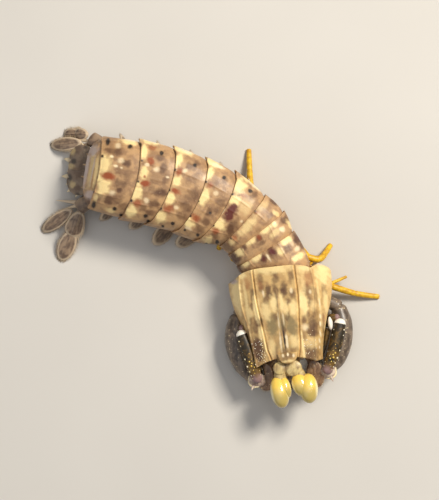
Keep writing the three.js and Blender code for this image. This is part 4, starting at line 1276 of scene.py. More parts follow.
RING_MARKS: dict[str, dict[Pigment, Rows]] = {
    "abdomen_5": {
        Pigment.UMBER: (
            (127, 164, 4, 4, 0.8), (118, 152, 4, 5, 0.7), (121, 184, 4, 7, 0.6), (119.5, 190, 2.5, 3, 0.8),
            (109, 200, 5, 5, 0.75), (117, 200, 5, 6, 0.5), (99, 197, 4, 3, 0.5), (113, 151, 3, 6, 0.6),
            (128, 175, 7, 5, 0.35), (124, 207, 4, 6, 0.5), (121, 170, 6, 5, 0.3),
        ),
        Pigment.CREAM: (
            (105, 165, 9, 5.5), (104, 186, 9, 5.5), (101, 176, 6, 4), (129, 142, 3, 8, 0.9),
            (111, 211, 2, 5, 0.6), (96, 198, 4, 2, 0.6),
        ),
        Pigment.RUST: ((108.3, 176.5, 4.2, 7.5),),
        Pigment.SOOT: (
            (130.4, 146.8, 2.4, 2.2), (115, 209, 2, 2.4), (108.3, 142, 4, 2.4), (94, 204.5, 4.2, 2.2),
            (121, 215, 1.6, 2), (102.6, 156.2, 1.5, 1.6), (93.6, 191.6, 1.6, 1.5),
        ),
        # The first two pearl spots are painted highlights; the others are pale marks.
        Pigment.PEARL: (
            (112.3, 156.8, 1.3, 1.8, 0.9), (116.3, 166.2, 1.4, 2.6, 0.9), (121, 161, 3, 3.4, 0.6),
            (113, 193, 3, 3, 0.6), (118, 146, 3, 3, 0.5), (131, 140, 2, 8, 0.9), (122, 168, 1.2, 1.4, 0.7),
        ),
    },
    "abdomen_4": {
        Pigment.UMBER: (
            (163.8, 168, 6, 3.4, 0.7), (161, 193, 4, 8, 0.8), (154, 204, 4, 5.5, 0.75),
            (156, 178, 6, 5, 0.35), (160, 158, 4, 4, 0.6), (143, 208, 3.5, 3.5, 0.6),
            (166, 180, 5, 3.5, 0.45), (150, 213, 3, 6, 0.55), (152, 190, 4, 4, 0.4),
        ),
        Pigment.CREAM: (
            (144.5, 152, 7, 3.6), (144.5, 173, 6, 3.6), (137.5, 193.5, 7, 4.5), (131.5, 211.5, 5.5, 4.5),
            (150, 141, 3.4, 9), (140, 184, 4, 2.5, 0.8),
        ),
        Pigment.RUST: (
            (145.4, 183.6, 3.4, 5.4), (145, 176.8, 1.5, 1.5, 0.8), (151, 161.5, 5.5, 3.8, 0.75),
            (137.7, 203, 4.4, 4.8, 0.75), (152, 148, 3, 5, 0.5),
        ),
        Pigment.SOOT: (
            (162.2, 153.2, 2.3, 2.4), (145.8, 216.4, 2.1, 2.1), (140.2, 144.6, 1.9, 1.9),
            (148.6, 221.3, 1.5, 2), (142.3, 161, 1.3, 1.2), (131.4, 201, 1.4, 1.4),
            (138.5, 181.6, 1.2, 1.2), (121, 214.5, 1.6, 1.8),
        ),
        Pigment.PEARL: (
            (147.5, 164.8, 1.6, 2.6, 0.9), (156.5, 169.6, 3, 3, 0.7), (147, 201, 3, 3, 0.6),
            (154, 141.5, 2.2, 10, 0.95), (168, 177.6, 1.2, 1.8, 0.8),
        ),
    },
    "abdomen_3": {
        Pigment.UMBER: (
            (191, 167, 4, 4.4, 0.65), (196, 178, 5, 4, 0.45), (194, 195, 6, 6, 0.6),
            (186.6, 207, 5, 6.5, 0.65), (181, 216, 3.4, 5.5, 0.55), (188, 182, 5, 4, 0.3),
            (197, 163, 3, 3, 0.5), (189, 198, 3, 5, 0.4),
        ),
        Pigment.CREAM: (
            (179, 160, 7, 3.6), (177.2, 181, 6, 3.6), (170.5, 199, 6.5, 4), (161, 217, 5.5, 5),
            (184, 151, 3.2, 9),
        ),
        Pigment.RUST: (
            (176, 191.6, 3.2, 5, 0.85), (179.4, 172.5, 4.8, 3.4, 0.75), (168.4, 208.5, 4.6, 5.4, 0.75),
        ),
        Pigment.SOOT: (
            (194.9, 165.4, 2, 2), (172.8, 223.8, 2, 2), (174, 152.3, 1.8, 1.8), (163, 226.5, 1.5, 1.7),
            (175.3, 170, 1.2, 1.2), (169.4, 190.5, 1.2, 1.2), (161.3, 208.5, 1.3, 1.3),
        ),
        Pigment.PEARL: (
            (185.3, 170.9, 2.6, 2.6, 0.65), (176.6, 207.7, 2.4, 2.4, 0.6), (186, 151, 2, 9, 0.9),
            (205, 178, 3, 3, 0.4),
        ),
    },
    "abdomen_2": {
        Pigment.UMBER: (
            (221, 203, 5, 4.5, 0.55), (210, 212.5, 4, 3.4, 0.75), (224, 181, 4, 3.4, 0.55),
            (206, 222, 4, 4.5, 0.55), (218, 211, 4, 4.5, 0.5), (200, 229, 3.4, 4.4, 0.5),
            (217, 184, 4, 3, 0.35),
        ),
        Pigment.CREAM: ((209.5, 173, 6, 4), (203.8, 197, 8, 4.6), (190, 222, 5, 5), (213, 163, 4, 8, 0.9)),
        Pigment.RUST: (
            (209.8, 185.6, 3.4, 3, 0.55), (195, 218.5, 4.6, 4.8, 0.75), (218, 168, 2.4, 4, 0.35),
        ),
        Pigment.SOOT: (
            (223.9, 177.6, 1.9, 2), (197.8, 235.3, 2, 2), (210.2, 212.9, 1.5, 1.5, 0.8),
            (206.4, 165, 1.7, 1.7), (206, 182, 1.2, 1.2), (199, 201.5, 1.2, 1.2), (190.5, 216, 1.2, 1.2),
            (185, 230, 1.4, 1.4),
        ),
        Pigment.PEARL: ((216, 193.7, 2.6, 2.6, 0.5), (217, 166, 2, 8, 0.85), (188.5, 228.5, 1.8, 4, 0.5)),
    },
    "abdomen_1": {
        Pigment.UMBER: (
            (231.4, 228, 10, 4.4, 0.75), (238.7, 195, 4, 1.5, 0.5), (254, 195, 4, 3, 0.65),
            (215, 236, 4, 4, 0.6), (224, 219, 3, 3, 0.4), (211, 244, 4, 4, 0.5),
        ),
        Pigment.CREAM: (
            (235, 201, 5, 5.5), (219.5, 224.7, 5.5, 5.5), (239, 186, 6.5, 6.5), (246, 207, 8, 6, 0.35),
            (250, 180, 3, 9, 0.8), (208, 240, 4, 4, 0.6),
        ),
        Pigment.RUST: ((215.9, 230.6, 3.4, 4, 0.7), (243, 196, 1.6, 5, 0.4)),
        Pigment.WINE: ((231.6, 210.5, 5.5, 5.5), (228.5, 216, 6, 5), (234, 206.5, 3.4, 4)),
        Pigment.SOOT: (
            (250, 191, 2.2, 2.4), (217.2, 241.9, 2, 2), (235.2, 178.8, 1.8, 1.8), (213.5, 225.5, 1.3, 1.3),
            (232.4, 194.5, 1.2, 1.2), (206.5, 244.5, 1.5, 1.8),
        ),
        # The first pearl mark, the streak at 223,210.2, is a painted highlight.
        Pigment.PEARL: ((223, 210.2, 4, 1.4, 0.85), (258, 188, 2.2, 9, 0.9), (241.5, 221.5, 1.6, 1.6, 0.6)),
    },
    "thorax_8": {
        Pigment.UMBER: (
            (273, 202, 1.6, 5, 0.8), (270, 214.7, 4, 3, 0.45), (257.8, 230, 3, 3, 0.3),
            (228, 247, 5, 5, 0.5), (256, 212, 3, 1.4, 0.5), (236, 243, 4, 2, 0.35),
        ),
        Pigment.CREAM: (
            (247.8, 226.2, 12, 4, 0.6), (262, 206, 6, 4, 0.35), (233, 241, 4, 3, 0.5),
            (276, 214, 2, 5, 0.6),
        ),
        Pigment.RUST: ((235, 238.5, 3, 3.4, 0.65), (257, 212.5, 3, 1.6, 0.4)),
        Pigment.SOOT: ((255.3, 211.3, 1.2, 1.2, 0.7), (231, 238.6, 1.2, 1.4, 0.7)),
    },
    "thorax_7": {
        Pigment.UMBER: (
            (284.6, 220, 4.4, 4.4, 0.8), (258.6, 238.5, 3, 3, 0.75), (243.3, 247.6, 3, 3, 0.7),
            (234.8, 259, 6, 5, 0.85), (262, 243, 4, 2, 0.5),
        ),
        Pigment.CREAM: (
            (266.2, 229.6, 6, 3, 0.9), (251, 241, 5, 3, 0.8), (239.4, 252.2, 4, 4, 0.8),
            (273.9, 223.9, 3, 3), (290, 225, 2, 6, 0.7), (275, 233, 6, 3, 0.5),
        ),
        Pigment.RUST: ((259, 237.5, 2.4, 3.4, 0.6),),
        Pigment.PEARL: ((282.3, 229.3, 3.2, 3, 0.8), (274.5, 223, 2, 2, 0.7)),
    },
    "thorax_6": {
        Pigment.UMBER: (
            (298.3, 238.4, 5, 6), (287.6, 248.4, 3.4, 4.4, 0.6), (263.2, 258, 3.4, 4.4, 0.75),
            (236, 268, 7, 6, 0.8), (271.6, 251.5, 5, 6, 0.6), (302, 246, 3, 4, 0.7),
        ),
        Pigment.CREAM: (
            (286, 240.7, 5, 3.6), (255.5, 257, 5, 4.4), (280, 251.5, 3, 4, 0.8), (305, 238, 2.4, 7),
            (245, 263, 4, 4, 0.8), (298, 257, 7, 3),
        ),
        Pigment.WINE: ((271.8, 251, 3.6, 4.4, 0.9), (263.2, 258.3, 2.4, 3.6, 0.7), (299, 238, 3, 4, 0.55)),
        Pigment.PEARL: ((268.5, 257.6, 1.2, 4, 0.8), (296.8, 248.4, 3, 3, 0.6), (291.5, 243, 2, 4, 0.4)),
    },
    "abdomen_6": {
        Pigment.CREAM: ((91, 170, 17, 3.6, 0.5), (96, 172, 15, 2.6, 0.6)),
        Pigment.LILAC: (
            (86, 168, 24, 3, 0.8), (92, 150, 6, 7, 0.8), (93, 170, 16, 1, 0.6), (90, 195, 5, 6, 0.7),
        ),
        Pigment.RUST: ((88, 172, 15, 1.2, 0.35), (93.4, 176, 12, 0.9, 0.35)),
        Pigment.UMBER: ((86, 140, 7, 8, 0.8), (86, 203, 6, 8, 0.8)),
    },
}
SHIELD_MARKS: dict[Pigment, Rows] = {
    Pigment.UMBER: (
        (275, 278, 3.4, 5, 0.6), (272, 273, 3, 2.6, 0.35), (260.2, 279, 2.6, 5, 0.5),
        (290.3, 276.5, 2.8, 5, 0.55), (268.3, 292, 3.2, 5.5, 0.8), (275.6, 290.5, 3, 6.5, 0.65),
        (283.7, 290, 4, 6, 0.8), (291.6, 294, 3, 4, 0.6), (266, 300.5, 3, 4, 0.6),
        (288, 300.5, 3, 3.4, 0.65), (261, 288, 2.6, 4, 0.5), (287.3, 316.6, 2.8, 3.4, 0.75),
        (274.9, 317.3, 2.8, 3.4, 0.65), (283.2, 328, 2.4, 7, 0.75), (293.2, 350.3, 4, 5.5, 0.55),
        (275.6, 353.2, 3.2, 5.5, 0.5), (285, 353.2, 4.4, 4.4, 0.6), (252.5, 296, 2.2, 7, 0.6),
        (252.1, 306.5, 1.8, 4, 0.6), (258, 321, 4, 5.5, 0.7), (249.2, 321, 3, 7, 0.5),
        (255.8, 328.3, 3.4, 5, 0.6), (258, 350, 6, 11, 0.85), (307.1, 290.2, 5, 5, 0.5),
        (309.3, 300.5, 3, 4, 0.6), (316, 294.6, 2.6, 6, 0.45), (307.1, 313.7, 3.2, 4, 0.55),
        (315.2, 312.2, 3, 4, 0.45), (313, 322.4, 6, 6, 0.75), (312.2, 330, 6, 6, 0.8),
        (304.2, 319.5, 2.4, 4, 0.65), (311.5, 353, 7, 8, 0.75), (324, 291.7, 2.4, 8, 0.55),
        (323.6, 325, 2, 9, 0.6), (247, 303, 2.4, 8, 0.3), (250, 338, 3.4, 9, 0.5),
        (304.5, 336, 2.4, 4, 0.4),
    ),
    Pigment.MOSS: (
        (272.5, 326, 6, 12, 0.85), (291.5, 326, 6, 12, 0.85), (283, 322, 4, 9, 0.6), (282, 345, 9, 6, 0.35),
    ),
    Pigment.CREAM: (
        (272, 268, 19, 4, 0.75), (273.4, 303, 3.8, 6, 0.9), (281.5, 302.5, 2.2, 7, 0.95),
        (266, 311, 4.4, 7, 0.7), (293.5, 308, 4.4, 6, 0.8), (285.5, 308, 3, 5, 0.7), (272, 347, 3, 7, 0.55),
        (294.6, 341.5, 4.4, 5, 0.65), (256.5, 308, 3.2, 10), (249.2, 313, 3.4, 4, 0.6),
        (261.7, 333, 3, 5, 0.85), (265, 341.5, 1.2, 9, 0.8), (303.4, 303, 3.8, 9), (313, 304.9, 3, 4, 0.5),
        (311.5, 343, 7, 4.4, 0.4), (303, 346.6, 1.3, 11, 0.8), (242.5, 276, 3, 3, 0.8),
        (236.5, 294, 4.6, 12), (239.5, 307, 2, 7, 0.7), (323.2, 274, 7, 9, 0.75), (325.6, 301, 2.4, 9, 0.7),
        (326.4, 333, 1.6, 12, 0.6), (304, 268, 7, 3, 0.7), (246, 300, 1.5, 24, 0.6),
        (319, 300, 1.3, 22, 0.5), (303, 284, 2, 8, 0.4),
    ),
    Pigment.RUST: (
        (247, 283, 3.4, 7, 0.4), (260.2, 286, 3, 5, 0.3), (307.8, 279, 5, 8, 0.32), (324, 320, 1.6, 6, 0.4),
    ),
    Pigment.LILAC: ((233.4, 281.6, 4.4, 2.6, 0.95), (321, 262.4, 6.5, 3, 0.9)),
    Pigment.SOOT: ((277.5, 305, 0.55, 12, 0.5), (280.5, 318, 0.6, 12, 0.5), (284.2, 338.5, 0.95, 13, 0.9)),
    Pigment.PEARL: (
        (263.1, 293.1, 1.3, 4, 0.85), (291, 290.2, 1.6, 3, 0.7), (310, 291.7, 1.4, 2.4, 0.6),
        (280.7, 341.5, 1.3, 9, 0.9), (286.8, 341, 1.3, 8, 0.9), (278.5, 321, 0.9, 7, 0.7),
        (283.2, 318.5, 0.8, 7, 0.6), (304.9, 326.8, 3.4, 3.6, 0.65), (268, 263, 8, 0.9, 0.8),
        (290, 261.5, 5, 0.9, 0.7), (320, 316, 0.9, 2.4, 0.9), (320.2, 324, 1.1, 3, 0.9),
        (320.2, 333, 1.1, 3.4, 0.9), (319.6, 341, 0.9, 2.4, 0.9), (319.6, 347, 0.8, 1.8, 0.8),
        (319.4, 303, 0.7, 5, 0.6),
    ),
}
BROW_MARKS: dict[Pigment, Rows] = {
    Pigment.UMBER: ((286.5, 355, 8, 5, 0.6),),
    Pigment.CREAM: ((287.5, 361, 7, 1.4, 0.7),),
    Pigment.PEARL: ((282.9, 355.4, 1, 2, 0.85), (287.7, 354, 1, 2, 0.85), (293.5, 355.4, 1, 2, 0.85)),
}
TAIL_MARKS: dict[Pigment, Rows] = {
    Pigment.UMBER: (
        (74, 170, 13, 9, 0.45), (77, 150, 5, 5, 0.5), (76, 188, 5, 5, 0.5), (80, 170, 12, 3, 0.4),
    ),
    Pigment.CREAM: ((70, 166, 3, 5, 0.35), (72, 184, 4, 3, 0.4), (72, 151, 4, 3, 0.4)),
    Pigment.SOOT: (
        (73, 161, 3, 3, 0.8), (69, 177, 3.4, 3, 0.8), (86, 147, 2, 2.4, 0.7), (77, 194, 2, 2.4, 0.6),
    ),
    Pigment.PEARL: ((65, 159, 1.6, 2.4, 0.6), (61, 176, 1.6, 3, 0.7), (74.5, 144, 1.4, 2, 0.5)),
}


# The body


@dataclass(frozen=True)
class RingEdge:
    """The rear edge of one body ring: its place, turns and sizes."""

    name: str
    at: Point
    heading: float
    pitch: float
    roll: float
    half: float
    back: float
    belly: float
    sweep: float

    def numbers(self) -> Vec:
        """Its turns and sizes in a row."""
        return np.array([self.heading, self.pitch, self.roll, self.half, self.back, self.belly, self.sweep])


EDGES = (
    RingEdge("neck", (20.0, 2.1, 12.6), 97.3, 0, 12, 10.6, 5.6, 4.6, -2.2),
    RingEdge("thorax_6", (16.6, 6.7, 12.8), 121.8, 2, 10, 10.2, 5.6, 4.6, 0),
    RingEdge("thorax_7", (13.9, 11.5, 13.1), 128.2, 3, 9, 10.8, 5.7, 4.6, 0),
    RingEdge("thorax_8", (10.0, 15.1, 13.5), 138.1, 4, 8, 10.4, 5.8, 4.5, 0.2),
    RingEdge("abdomen_1", (3.5, 18.3, 14.1), 148.3, 5, 6, 12.3, 6.0, 4.4, 1.8),
    RingEdge("abdomen_2", (-3.6, 21.8, 14.7), 155.3, 4, 5, 12.3, 6.1, 4.4, 2.0),
    RingEdge("abdomen_3", (-12.2, 24.8, 15.2), 159.6, 2, 4, 12.5, 6.1, 4.4, 2.3),
    RingEdge("abdomen_4", (-21.4, 27.0, 15.1), 165, -4, 4, 12.4, 6.0, 4.3, 2.2),
    RingEdge("abdomen_5", (-31.6, 29.2, 13.6), 167.5, -18, 4, 10.9, 5.6, 4.0, 2.4),
    RingEdge("abdomen_6", (-34.7, 30.0, 9.4), 169, -48, 3, 9.2, 3.9, 3.0, 0.6),
)
SPINE = 1.3


@dataclass(frozen=True)
class Station:
    """A cut through the body: its axes and its sizes."""

    axes: Axes
    half: float
    back: float
    belly: float
    sweep: float


@dataclass(frozen=True)
class Body:
    """The line of the body from the neck to the tail, which everything behind the head hangs on."""

    edges: tuple[RingEdge, ...] = EDGES
    head_drop: float = 3.0
    lead_in: float = 5.6

    @property
    def head(self) -> Axes:
        """The head's axes, at the rear edge of its shield."""
        neck = self.edges[0]
        return turned(neck.at, neck.heading, self.head_drop, neck.roll)

    def ahead(self, forward: Any, across: Any, up: Any) -> Vec:
        """Points in the head's terms: forward of the shield's rear edge, to the left, and up."""
        return self.head.point(across, -np.asarray(forward, float), up)

    def station(self, index: int, share: float) -> Station:
        """The cut at a share of the way along a ring, counted from the front."""
        rows = between(self.edges[index].numbers(), self.edges[index + 1].numbers(), share)
        line = Path([edge.at for edge in self.edges])
        spans = len(self.edges) - 1
        heading, pitch, roll, half, back, belly, sweep = rows
        axes = turned(line.at((index + share) / spans), heading, pitch, roll)
        short = min(0.0, index + share)
        if short:
            axes = Axes(axes.origin + axes.along * short * self.lead_in, axes.across, axes.along, axes.up)
        return Station(axes, half, back, belly, sweep)

    @property
    def rear(self) -> Station:
        """The rear end of the last ring."""
        return self.station(len(self.edges) - 2, 1.0)


BODY = Body()


@dataclass(frozen=True)
class Ring:
    """One ring of the body: a curved plate over the back, hanging flanks and a ribbed belly."""

    index: int
    keels: tuple[float, ...] = (0.5, 0.92)
    keel: float = 0.17
    fine_keels: tuple[float, ...] = (0.17, 0.74)
    fine_keel: float = 0.08
    steps: int = 44
    over_back: int = 84
    under: int = 34

    @property
    def name(self) -> str:
        """The name of the ring's solid."""
        return BODY.edges[self.index + 1].name

    @property
    def spine(self) -> float:
        """The length of the spine at each rear corner."""
        return SPINE if self.name.startswith("abdomen") and self.name != "abdomen_6" else 0.3

    def station(self, share: float) -> Station:
        """The body's cut at a share of the ring's length."""
        return BODY.station(self.index, share)

    def profile(self) -> tuple[Vec, Vec]:
        """Where the half ring's points lie: as a share over the back, and then down the flank and belly."""
        over = 1.0 - (1.0 - np.linspace(0.0, 1.0, self.over_back)) ** 1.8
        return over, np.linspace(0.0, 1.0, self.under + 1)[1:]

    def section(self, share: float, scale: float, rise: float) -> tuple[Vec, Vec]:
        """One closed ring of points with their places.

        Args:
            share: How far along the ring, from its front.
            scale: The size of the cut against the full one.
            rise: How much of the keels shows.

        Returns:
            The points, and for each its share across, its share along and its height.
        """
        at = self.station(share)
        over, under = self.profile()
        half = at.half * scale
        reach = self.spine * float(ease(share, 0.55, 1.0))
        ridge = sum(self.keel * hump(over, keel, 0.024) for keel in self.keels)
        ridge = ridge + sum(self.fine_keel * hump(over, keel, 0.03) for keel in self.fine_keels)
        rim = 0.07 * float(hump(share, 0.975, 0.02)) - 0.05 * float(hump(share, 0.93, 0.02))
        height = at.back * scale * np.maximum(0.0, 1.0 - over**2.7) ** 0.56 + ridge * rise + rim
        back = at.sweep * over**2 + 0.5 * reach * ease(over, 0.86, 1.0)
        corners = [
            (1.0, 0.0, 1.0, 0.5),
            (1.0, -1.0, 1.0, 0.35),
            (0.985, -2.1, 0.97, 0.85),
            (0.975, -2.5, 0.94, 1.0),
            (0.93, -2.35, 0.88, 0.45),
            (0.86, -1.9, 0.74, 0.0),
            (0.62, -0.78 * at.belly, 0.38, 0.0),
            (0.3, -at.belly, 0.09, 0.0),
            (0.0, -at.belly, 0.0, 0.0),
        ]
        low = Path(corners).at(under)
        rib = 0.16 * math.sin(share * math.tau * 2.0) * ease(1.0 - low[:, 0], 0.2, 0.5)
        across = np.concatenate([over * half, low[:, 0] * half + 0.3 * low[:, 3] * reach])
        along = np.concatenate([back, at.sweep * low[:, 2] + low[:, 3] * reach])
        up = np.concatenate([height, low[:, 1] * scale + rib])
        where = np.concatenate([over, 1.0 + under])
        side = [
            (at.axes.point(sign * across, along, up), np.stack([sign * where, 0 * where + share, up], -1))
            for sign in (1, -1)
        ]
        return closed(side[0][0], side[1][0]), closed(side[0][1], side[1][1])

    def form(self) -> Form:
        """The ring's mesh in the making."""
        made = Form(f"shell_{self.name}")
        rows = [(-0.1, 0.86, 0.0), (-0.06, 0.885, 0.0)]
        for share in np.linspace(-0.02, 1.0, self.steps):
            scale = float(np.interp(share, [-0.02, 0.2, 0.62, 1.0], [0.925, 0.972, 1.0, 1.0]))
            rows.append((float(share), scale, float(ease(share, 0.05, 0.55))))
        rows += [(1.006, 0.985, 0.8), (1.0, 0.966, 0.3), (0.94, 0.95, 0.0), (0.8, 0.94, 0.0)]
        cuts = [self.section(*row) for row in rows]
        points = np.array([cut[0] for cut in cuts])
        places = np.array([cut[1] for cut in cuts])
        seen = 1.0 - ease(np.abs(places[..., 0]), 1.25, 1.5)
        heading = BODY.edges[self.index + 1].heading
        layers = painted(points, RING_MARKS.get(self.name, {}), heading, seen, (1.15, 1.15))
        made.skin(points, places, layers=layers)
        return made

    def build(self) -> None:
        """Puts the ring in the scene."""
        put(f"shell_{self.name}", self.form().mesh(), BackShell("back_shell"), Slot.BACK, [self.name])


@dataclass(frozen=True)
class LastRing(Ring):
    """The last ring, with six spines along its rear edge."""

    def form(self) -> Form:
        """The ring's mesh with its spines."""
        made = super().form()
        rear = self.station(1.0)
        for share, up in ((0.2, 3.7), (0.55, 3.0), (0.88, 1.4)):
            for sign in (1, -1):
                across = sign * share * rear.half
                base, tip = rear.axes.point(across, -2.2, up - 0.5), rear.axes.point(across, 1.5, up + 0.1)
                thorn(made, base, tip, 0.75, 0.8, 0.15, rear.axes.up)
        return made


@dataclass(frozen=True)
class Shield:
    """The shield of the head: a middle plate between two grooves, side plates and hanging flaps."""

    length: float = 25.8
    groove: float = 0.35
    lead: dict[int, float] = field(default_factory=lambda: {1: -0.9, -1: 0.9})
    steps: int = 92

    def sizes(self, forward: float) -> dict[str, float]:
        """Half widths and heights at a distance forward of the rear edge."""
        u = forward / self.length
        middle = between(6.4, 5.0, ease(u, 0.3, 1.0)) - 0.7 * ease(u, 0.86, 1.0)
        margin = 11.2 + 0.5 * math.sin(math.pi * min(1.0, u * 1.6)) - 1.8 * ease(u, 0.4, 1.05)
        flap = between(15.8, margin + 0.9, ease(u, 0.2, 0.98))
        lobe = math.sqrt(ease(u, -0.03, 0.14))
        return {
            "middle": middle,
            "margin": margin,
            "flap": between(margin + 0.5, flap, lobe),
            "crown": between(6.4, 5.2, u * u),
            "shoulder": between(4.5, 3.9, u),
            "hem": between(1.5, between(-2.9, -1.3, u), lobe),
        }

    def section(self, forward: float, shrink: float = 1.0) -> tuple[Vec, Vec]:
        """One closed ring of points with their places.

        Args:
            forward: The distance forward of the rear edge.
            shrink: The size of the cut against the full one.

        Returns:
            The points, and for each its distance across, its distance forward and its height.
        """
        s = self.sizes(forward)
        u = forward / self.length
        top = np.concatenate(
            [
                np.linspace(0.0, s["middle"] - 0.9, 30),
                np.linspace(s["middle"] - 0.8, s["middle"] + 0.8, 17),
                np.linspace(s["middle"] + 0.95, s["margin"] - 0.7, 22),
                np.linspace(s["margin"] - 0.6, s["margin"], 7),
            ]
        )
        arch = between(s["crown"], s["shoulder"], (top / s["margin"]) ** 2.2)
        arch = arch - self.groove * 1.25 * hump(top, s["middle"], 0.2)
        arch = arch + 0.12 * hump(top, s["middle"] + 0.5, 0.3) + 0.1 * hump(top, s["middle"] - 0.5, 0.3)
        arch = arch + 0.16 * hump(top, 0.0, 0.28) * ease(u, 0.18, 0.4) * (1 - ease(u, 0.86, 0.95))
        arch = arch + 0.2 * hump(top, s["margin"] - 0.25, 0.3)
        gap, drop = s["flap"] - s["margin"], s["hem"] - s["shoulder"]
        side_rows = [
            (s["margin"], arch[-1]),
            (s["margin"] + 0.12, s["shoulder"] - 0.35),
            (s["margin"] + 0.35 * gap, s["shoulder"] + 0.24 * drop),
            (s["margin"] + 0.8 * gap, s["shoulder"] + 0.6 * drop),
            (s["flap"], s["shoulder"] + 0.88 * drop),
            (s["flap"] - 0.25, s["hem"] + 0.05),
            (s["flap"] - 0.9, s["hem"] + 0.1),
            (s["margin"] - 2.2, min(-1.2, s["hem"])),
            (0.5 * s["margin"], -1.4),
            (0.0, -1.4),
        ]
        low = Path(side_rows).at(np.linspace(0.0, 1.0, 62)[1:])
        across = np.concatenate([top, low[:, 0]])
        up = np.concatenate([arch, low[:, 1]])
        where = np.concatenate([top, s["margin"] + np.linspace(0.0, 12.0, 62)[1:]])
        share = np.minimum(1.0, across / s["margin"])
        outer = np.clip((across - s["margin"]) / max(1.0, gap), 0.0, 1.0)
        halves = []
        for sign in (1, -1):
            rear = 1.7 * share**4 + self.lead[sign] * outer
            shift = (1.7 + 2.2 * share**2) * ease(u, 0.6, 1.0) + rear * (1 - ease(u, 0.0, 0.2))
            points = BODY.ahead(forward + shift, sign * across * shrink, between(1.4, up, shrink))
            halves.append((points, np.stack([sign * where, 0 * where + forward, up], -1)))
        return closed(halves[0][0], halves[1][0]), closed(halves[0][1], halves[1][1])

    def build(self) -> None:
        """Puts the shield in the scene."""
        made = Form("head_shield")
        rows = [(2.2, 0.93), (0.5, 0.95), (0.06, 0.965), (0.0, 0.985)]
        rows += [(float(forward), 1.0) for forward in np.linspace(0.05, self.length - 0.05, self.steps)]
        rows += [(self.length + 0.02, 0.985), (self.length, 0.955), (self.length - 0.5, 0.9)]
        cuts = [self.section(*row) for row in rows]
        places = np.array([cut[1] for cut in cuts])
        end = BODY.ahead(self.length - 0.7, 0.0, 1.4)
        points = np.array([cut[0] for cut in cuts])
        seen = 1.0 - ease(np.abs(places[..., 0]), 18.5, 20.0)
        layers = painted(points, SHIELD_MARKS, BODY.edges[0].heading, seen, (1.15, 1.4))
        made.skin(points, places, end=end, layers=layers)
        mesh = made.mesh()
        across, forward = np.abs(np.vstack(made.places)[:, 0]), np.vstack(made.places)[:, 1]
        cover = ease(forward, 19.0, 22.0) * ease(across, 5.8, 6.4) * (1 - ease(across, 9.2, 10.0))
        strewn = mesh.copy()
        carry(strewn, "cover", cover)
        values = {"Density": 1.6e6, "Radius": 0.00013, "Unevenness": 0.4, "Seed": 11}
        grow("shield_granules", strewn, granules_tree, WHITE_BEAD, Slot.HEAD, **values)
        put("head_shield", mesh, HEAD_SHELL, Slot.HEAD, ["carapace"])


# The head


@dataclass(frozen=True)
class Face:
    """The front of the head: the mouth's underside, the small plate over the eyes, and their ring."""

    def underside(self) -> None:
        """The front of the thorax and the lips, under the shield."""
        made = Form("chest")
        stations = ((0.4, 8.4, 4.6), (7, 8.6, 5.0), (15, 8.0, 5.4), (22, 6.8, 5.4), (27, 5.0, 4.8))
        breadth = Path(stations, even=True)
        rings, places = [], []
        for share in np.linspace(0.0, 1.0, 70):
            forward, half, depth = breadth.at(share)
            depth = depth + 0.6 + 0.22 * math.sin(share * math.tau * 6.5)
            upper = [(0.0, -2.1), (0.9, -2.1), (1.0, -2.8)]
            lower = [(0.8, -0.85 * depth), (0.4, -depth), (0.0, -depth - 0.1)]
            low = Path(upper + lower).at(np.linspace(0.0, 1.0, 40))
            sides = [BODY.ahead(forward, sign * low[:, 0] * half, low[:, 1]) for sign in (1, -1)]
            rings.append(closed(*sides))
            turn = np.concatenate([low[:, 0], -low[-2:0:-1, 0]])
            places.append(np.stack([turn * half, 0 * turn + forward, 0 * turn], -1))
        made.skin(np.array(rings), np.array(places))
        ball(made, BODY.head, BODY.ahead(24.5, 0, -5.6), (2.3, 2.6, 1.7))
        for sign in (1, -1):
            ball(made, BODY.head, BODY.ahead(22.4, sign * 2.2, -5.5), (1.5, 1.9, 1.4))
        put("chest", made.mesh(), Belly("belly"), Slot.UNDER, ["thorax_core"])

    def brow(self) -> None:
        """The small plate over the roots of the eyes."""
        made = Form("brow_plate")
        root = BODY.ahead(Shield.length + 0.5, 0.9, 5.35)
        axes = Axes(root, BODY.head.across, -BODY.head.along, BODY.head.up)
        rim = Path([(-2.9, 0), (-2.6, 1.5), (-1.7, 2.6), (0, 3.0), (1.7, 2.6), (2.6, 1.5), (2.9, 0)])
        outline = np.vstack([rim.at(np.linspace(0, 1, 60)), np.linspace((2.7, -0.02), (-2.7, -0.02), 28)])

        def keel(a: Vec, b: Vec) -> Vec:
            """A low ridge down the middle."""
            return 0.14 * hump(a, 0.0, 0.3) * (1 - ease(b, 1.8, 3.0))

        plate(made, axes, outline, (0, 1.3), 0.7, 0.3, relief=keel, marks=BROW_MARKS)
        put("brow_plate", made.mesh(), HEAD_SHELL, Slot.HEAD, ["rostral_plate"])

    def eye_ring(self) -> None:
        """The two small rings that carry the eyes and the feelers."""
        made = Form("eye_ring")
        ball(made, BODY.head, BODY.ahead(30.6, 0, 1.8), (2.9, 2.9, 2.1), 2.3)
        ball(made, BODY.head, BODY.ahead(28.2, 0, 0.4), (3.6, 2.6, 2.6), 2.3)
        for sign in (1, -1):
            ends = [BODY.ahead(30.4, sign * 1.9, 2.8), BODY.ahead(32.4, sign * 2.3, 3.5)]
            thorn(made, ends[0], ends[1], 0.7, 0.8)
        put("eye_ring", made.mesh(), EYE_RING_SHELL, Slot.HEAD, ["eye_somite"])

    def build(self) -> None:
        """Puts the front of the head in the scene."""
        self.underside()
        self.brow()
        self.eye_ring()


@dataclass(frozen=True)
class Lobe:
    """One of the two swollen halves of an eye, and how far its length is turned."""

    middle: Point
    half: Point
    heading: float


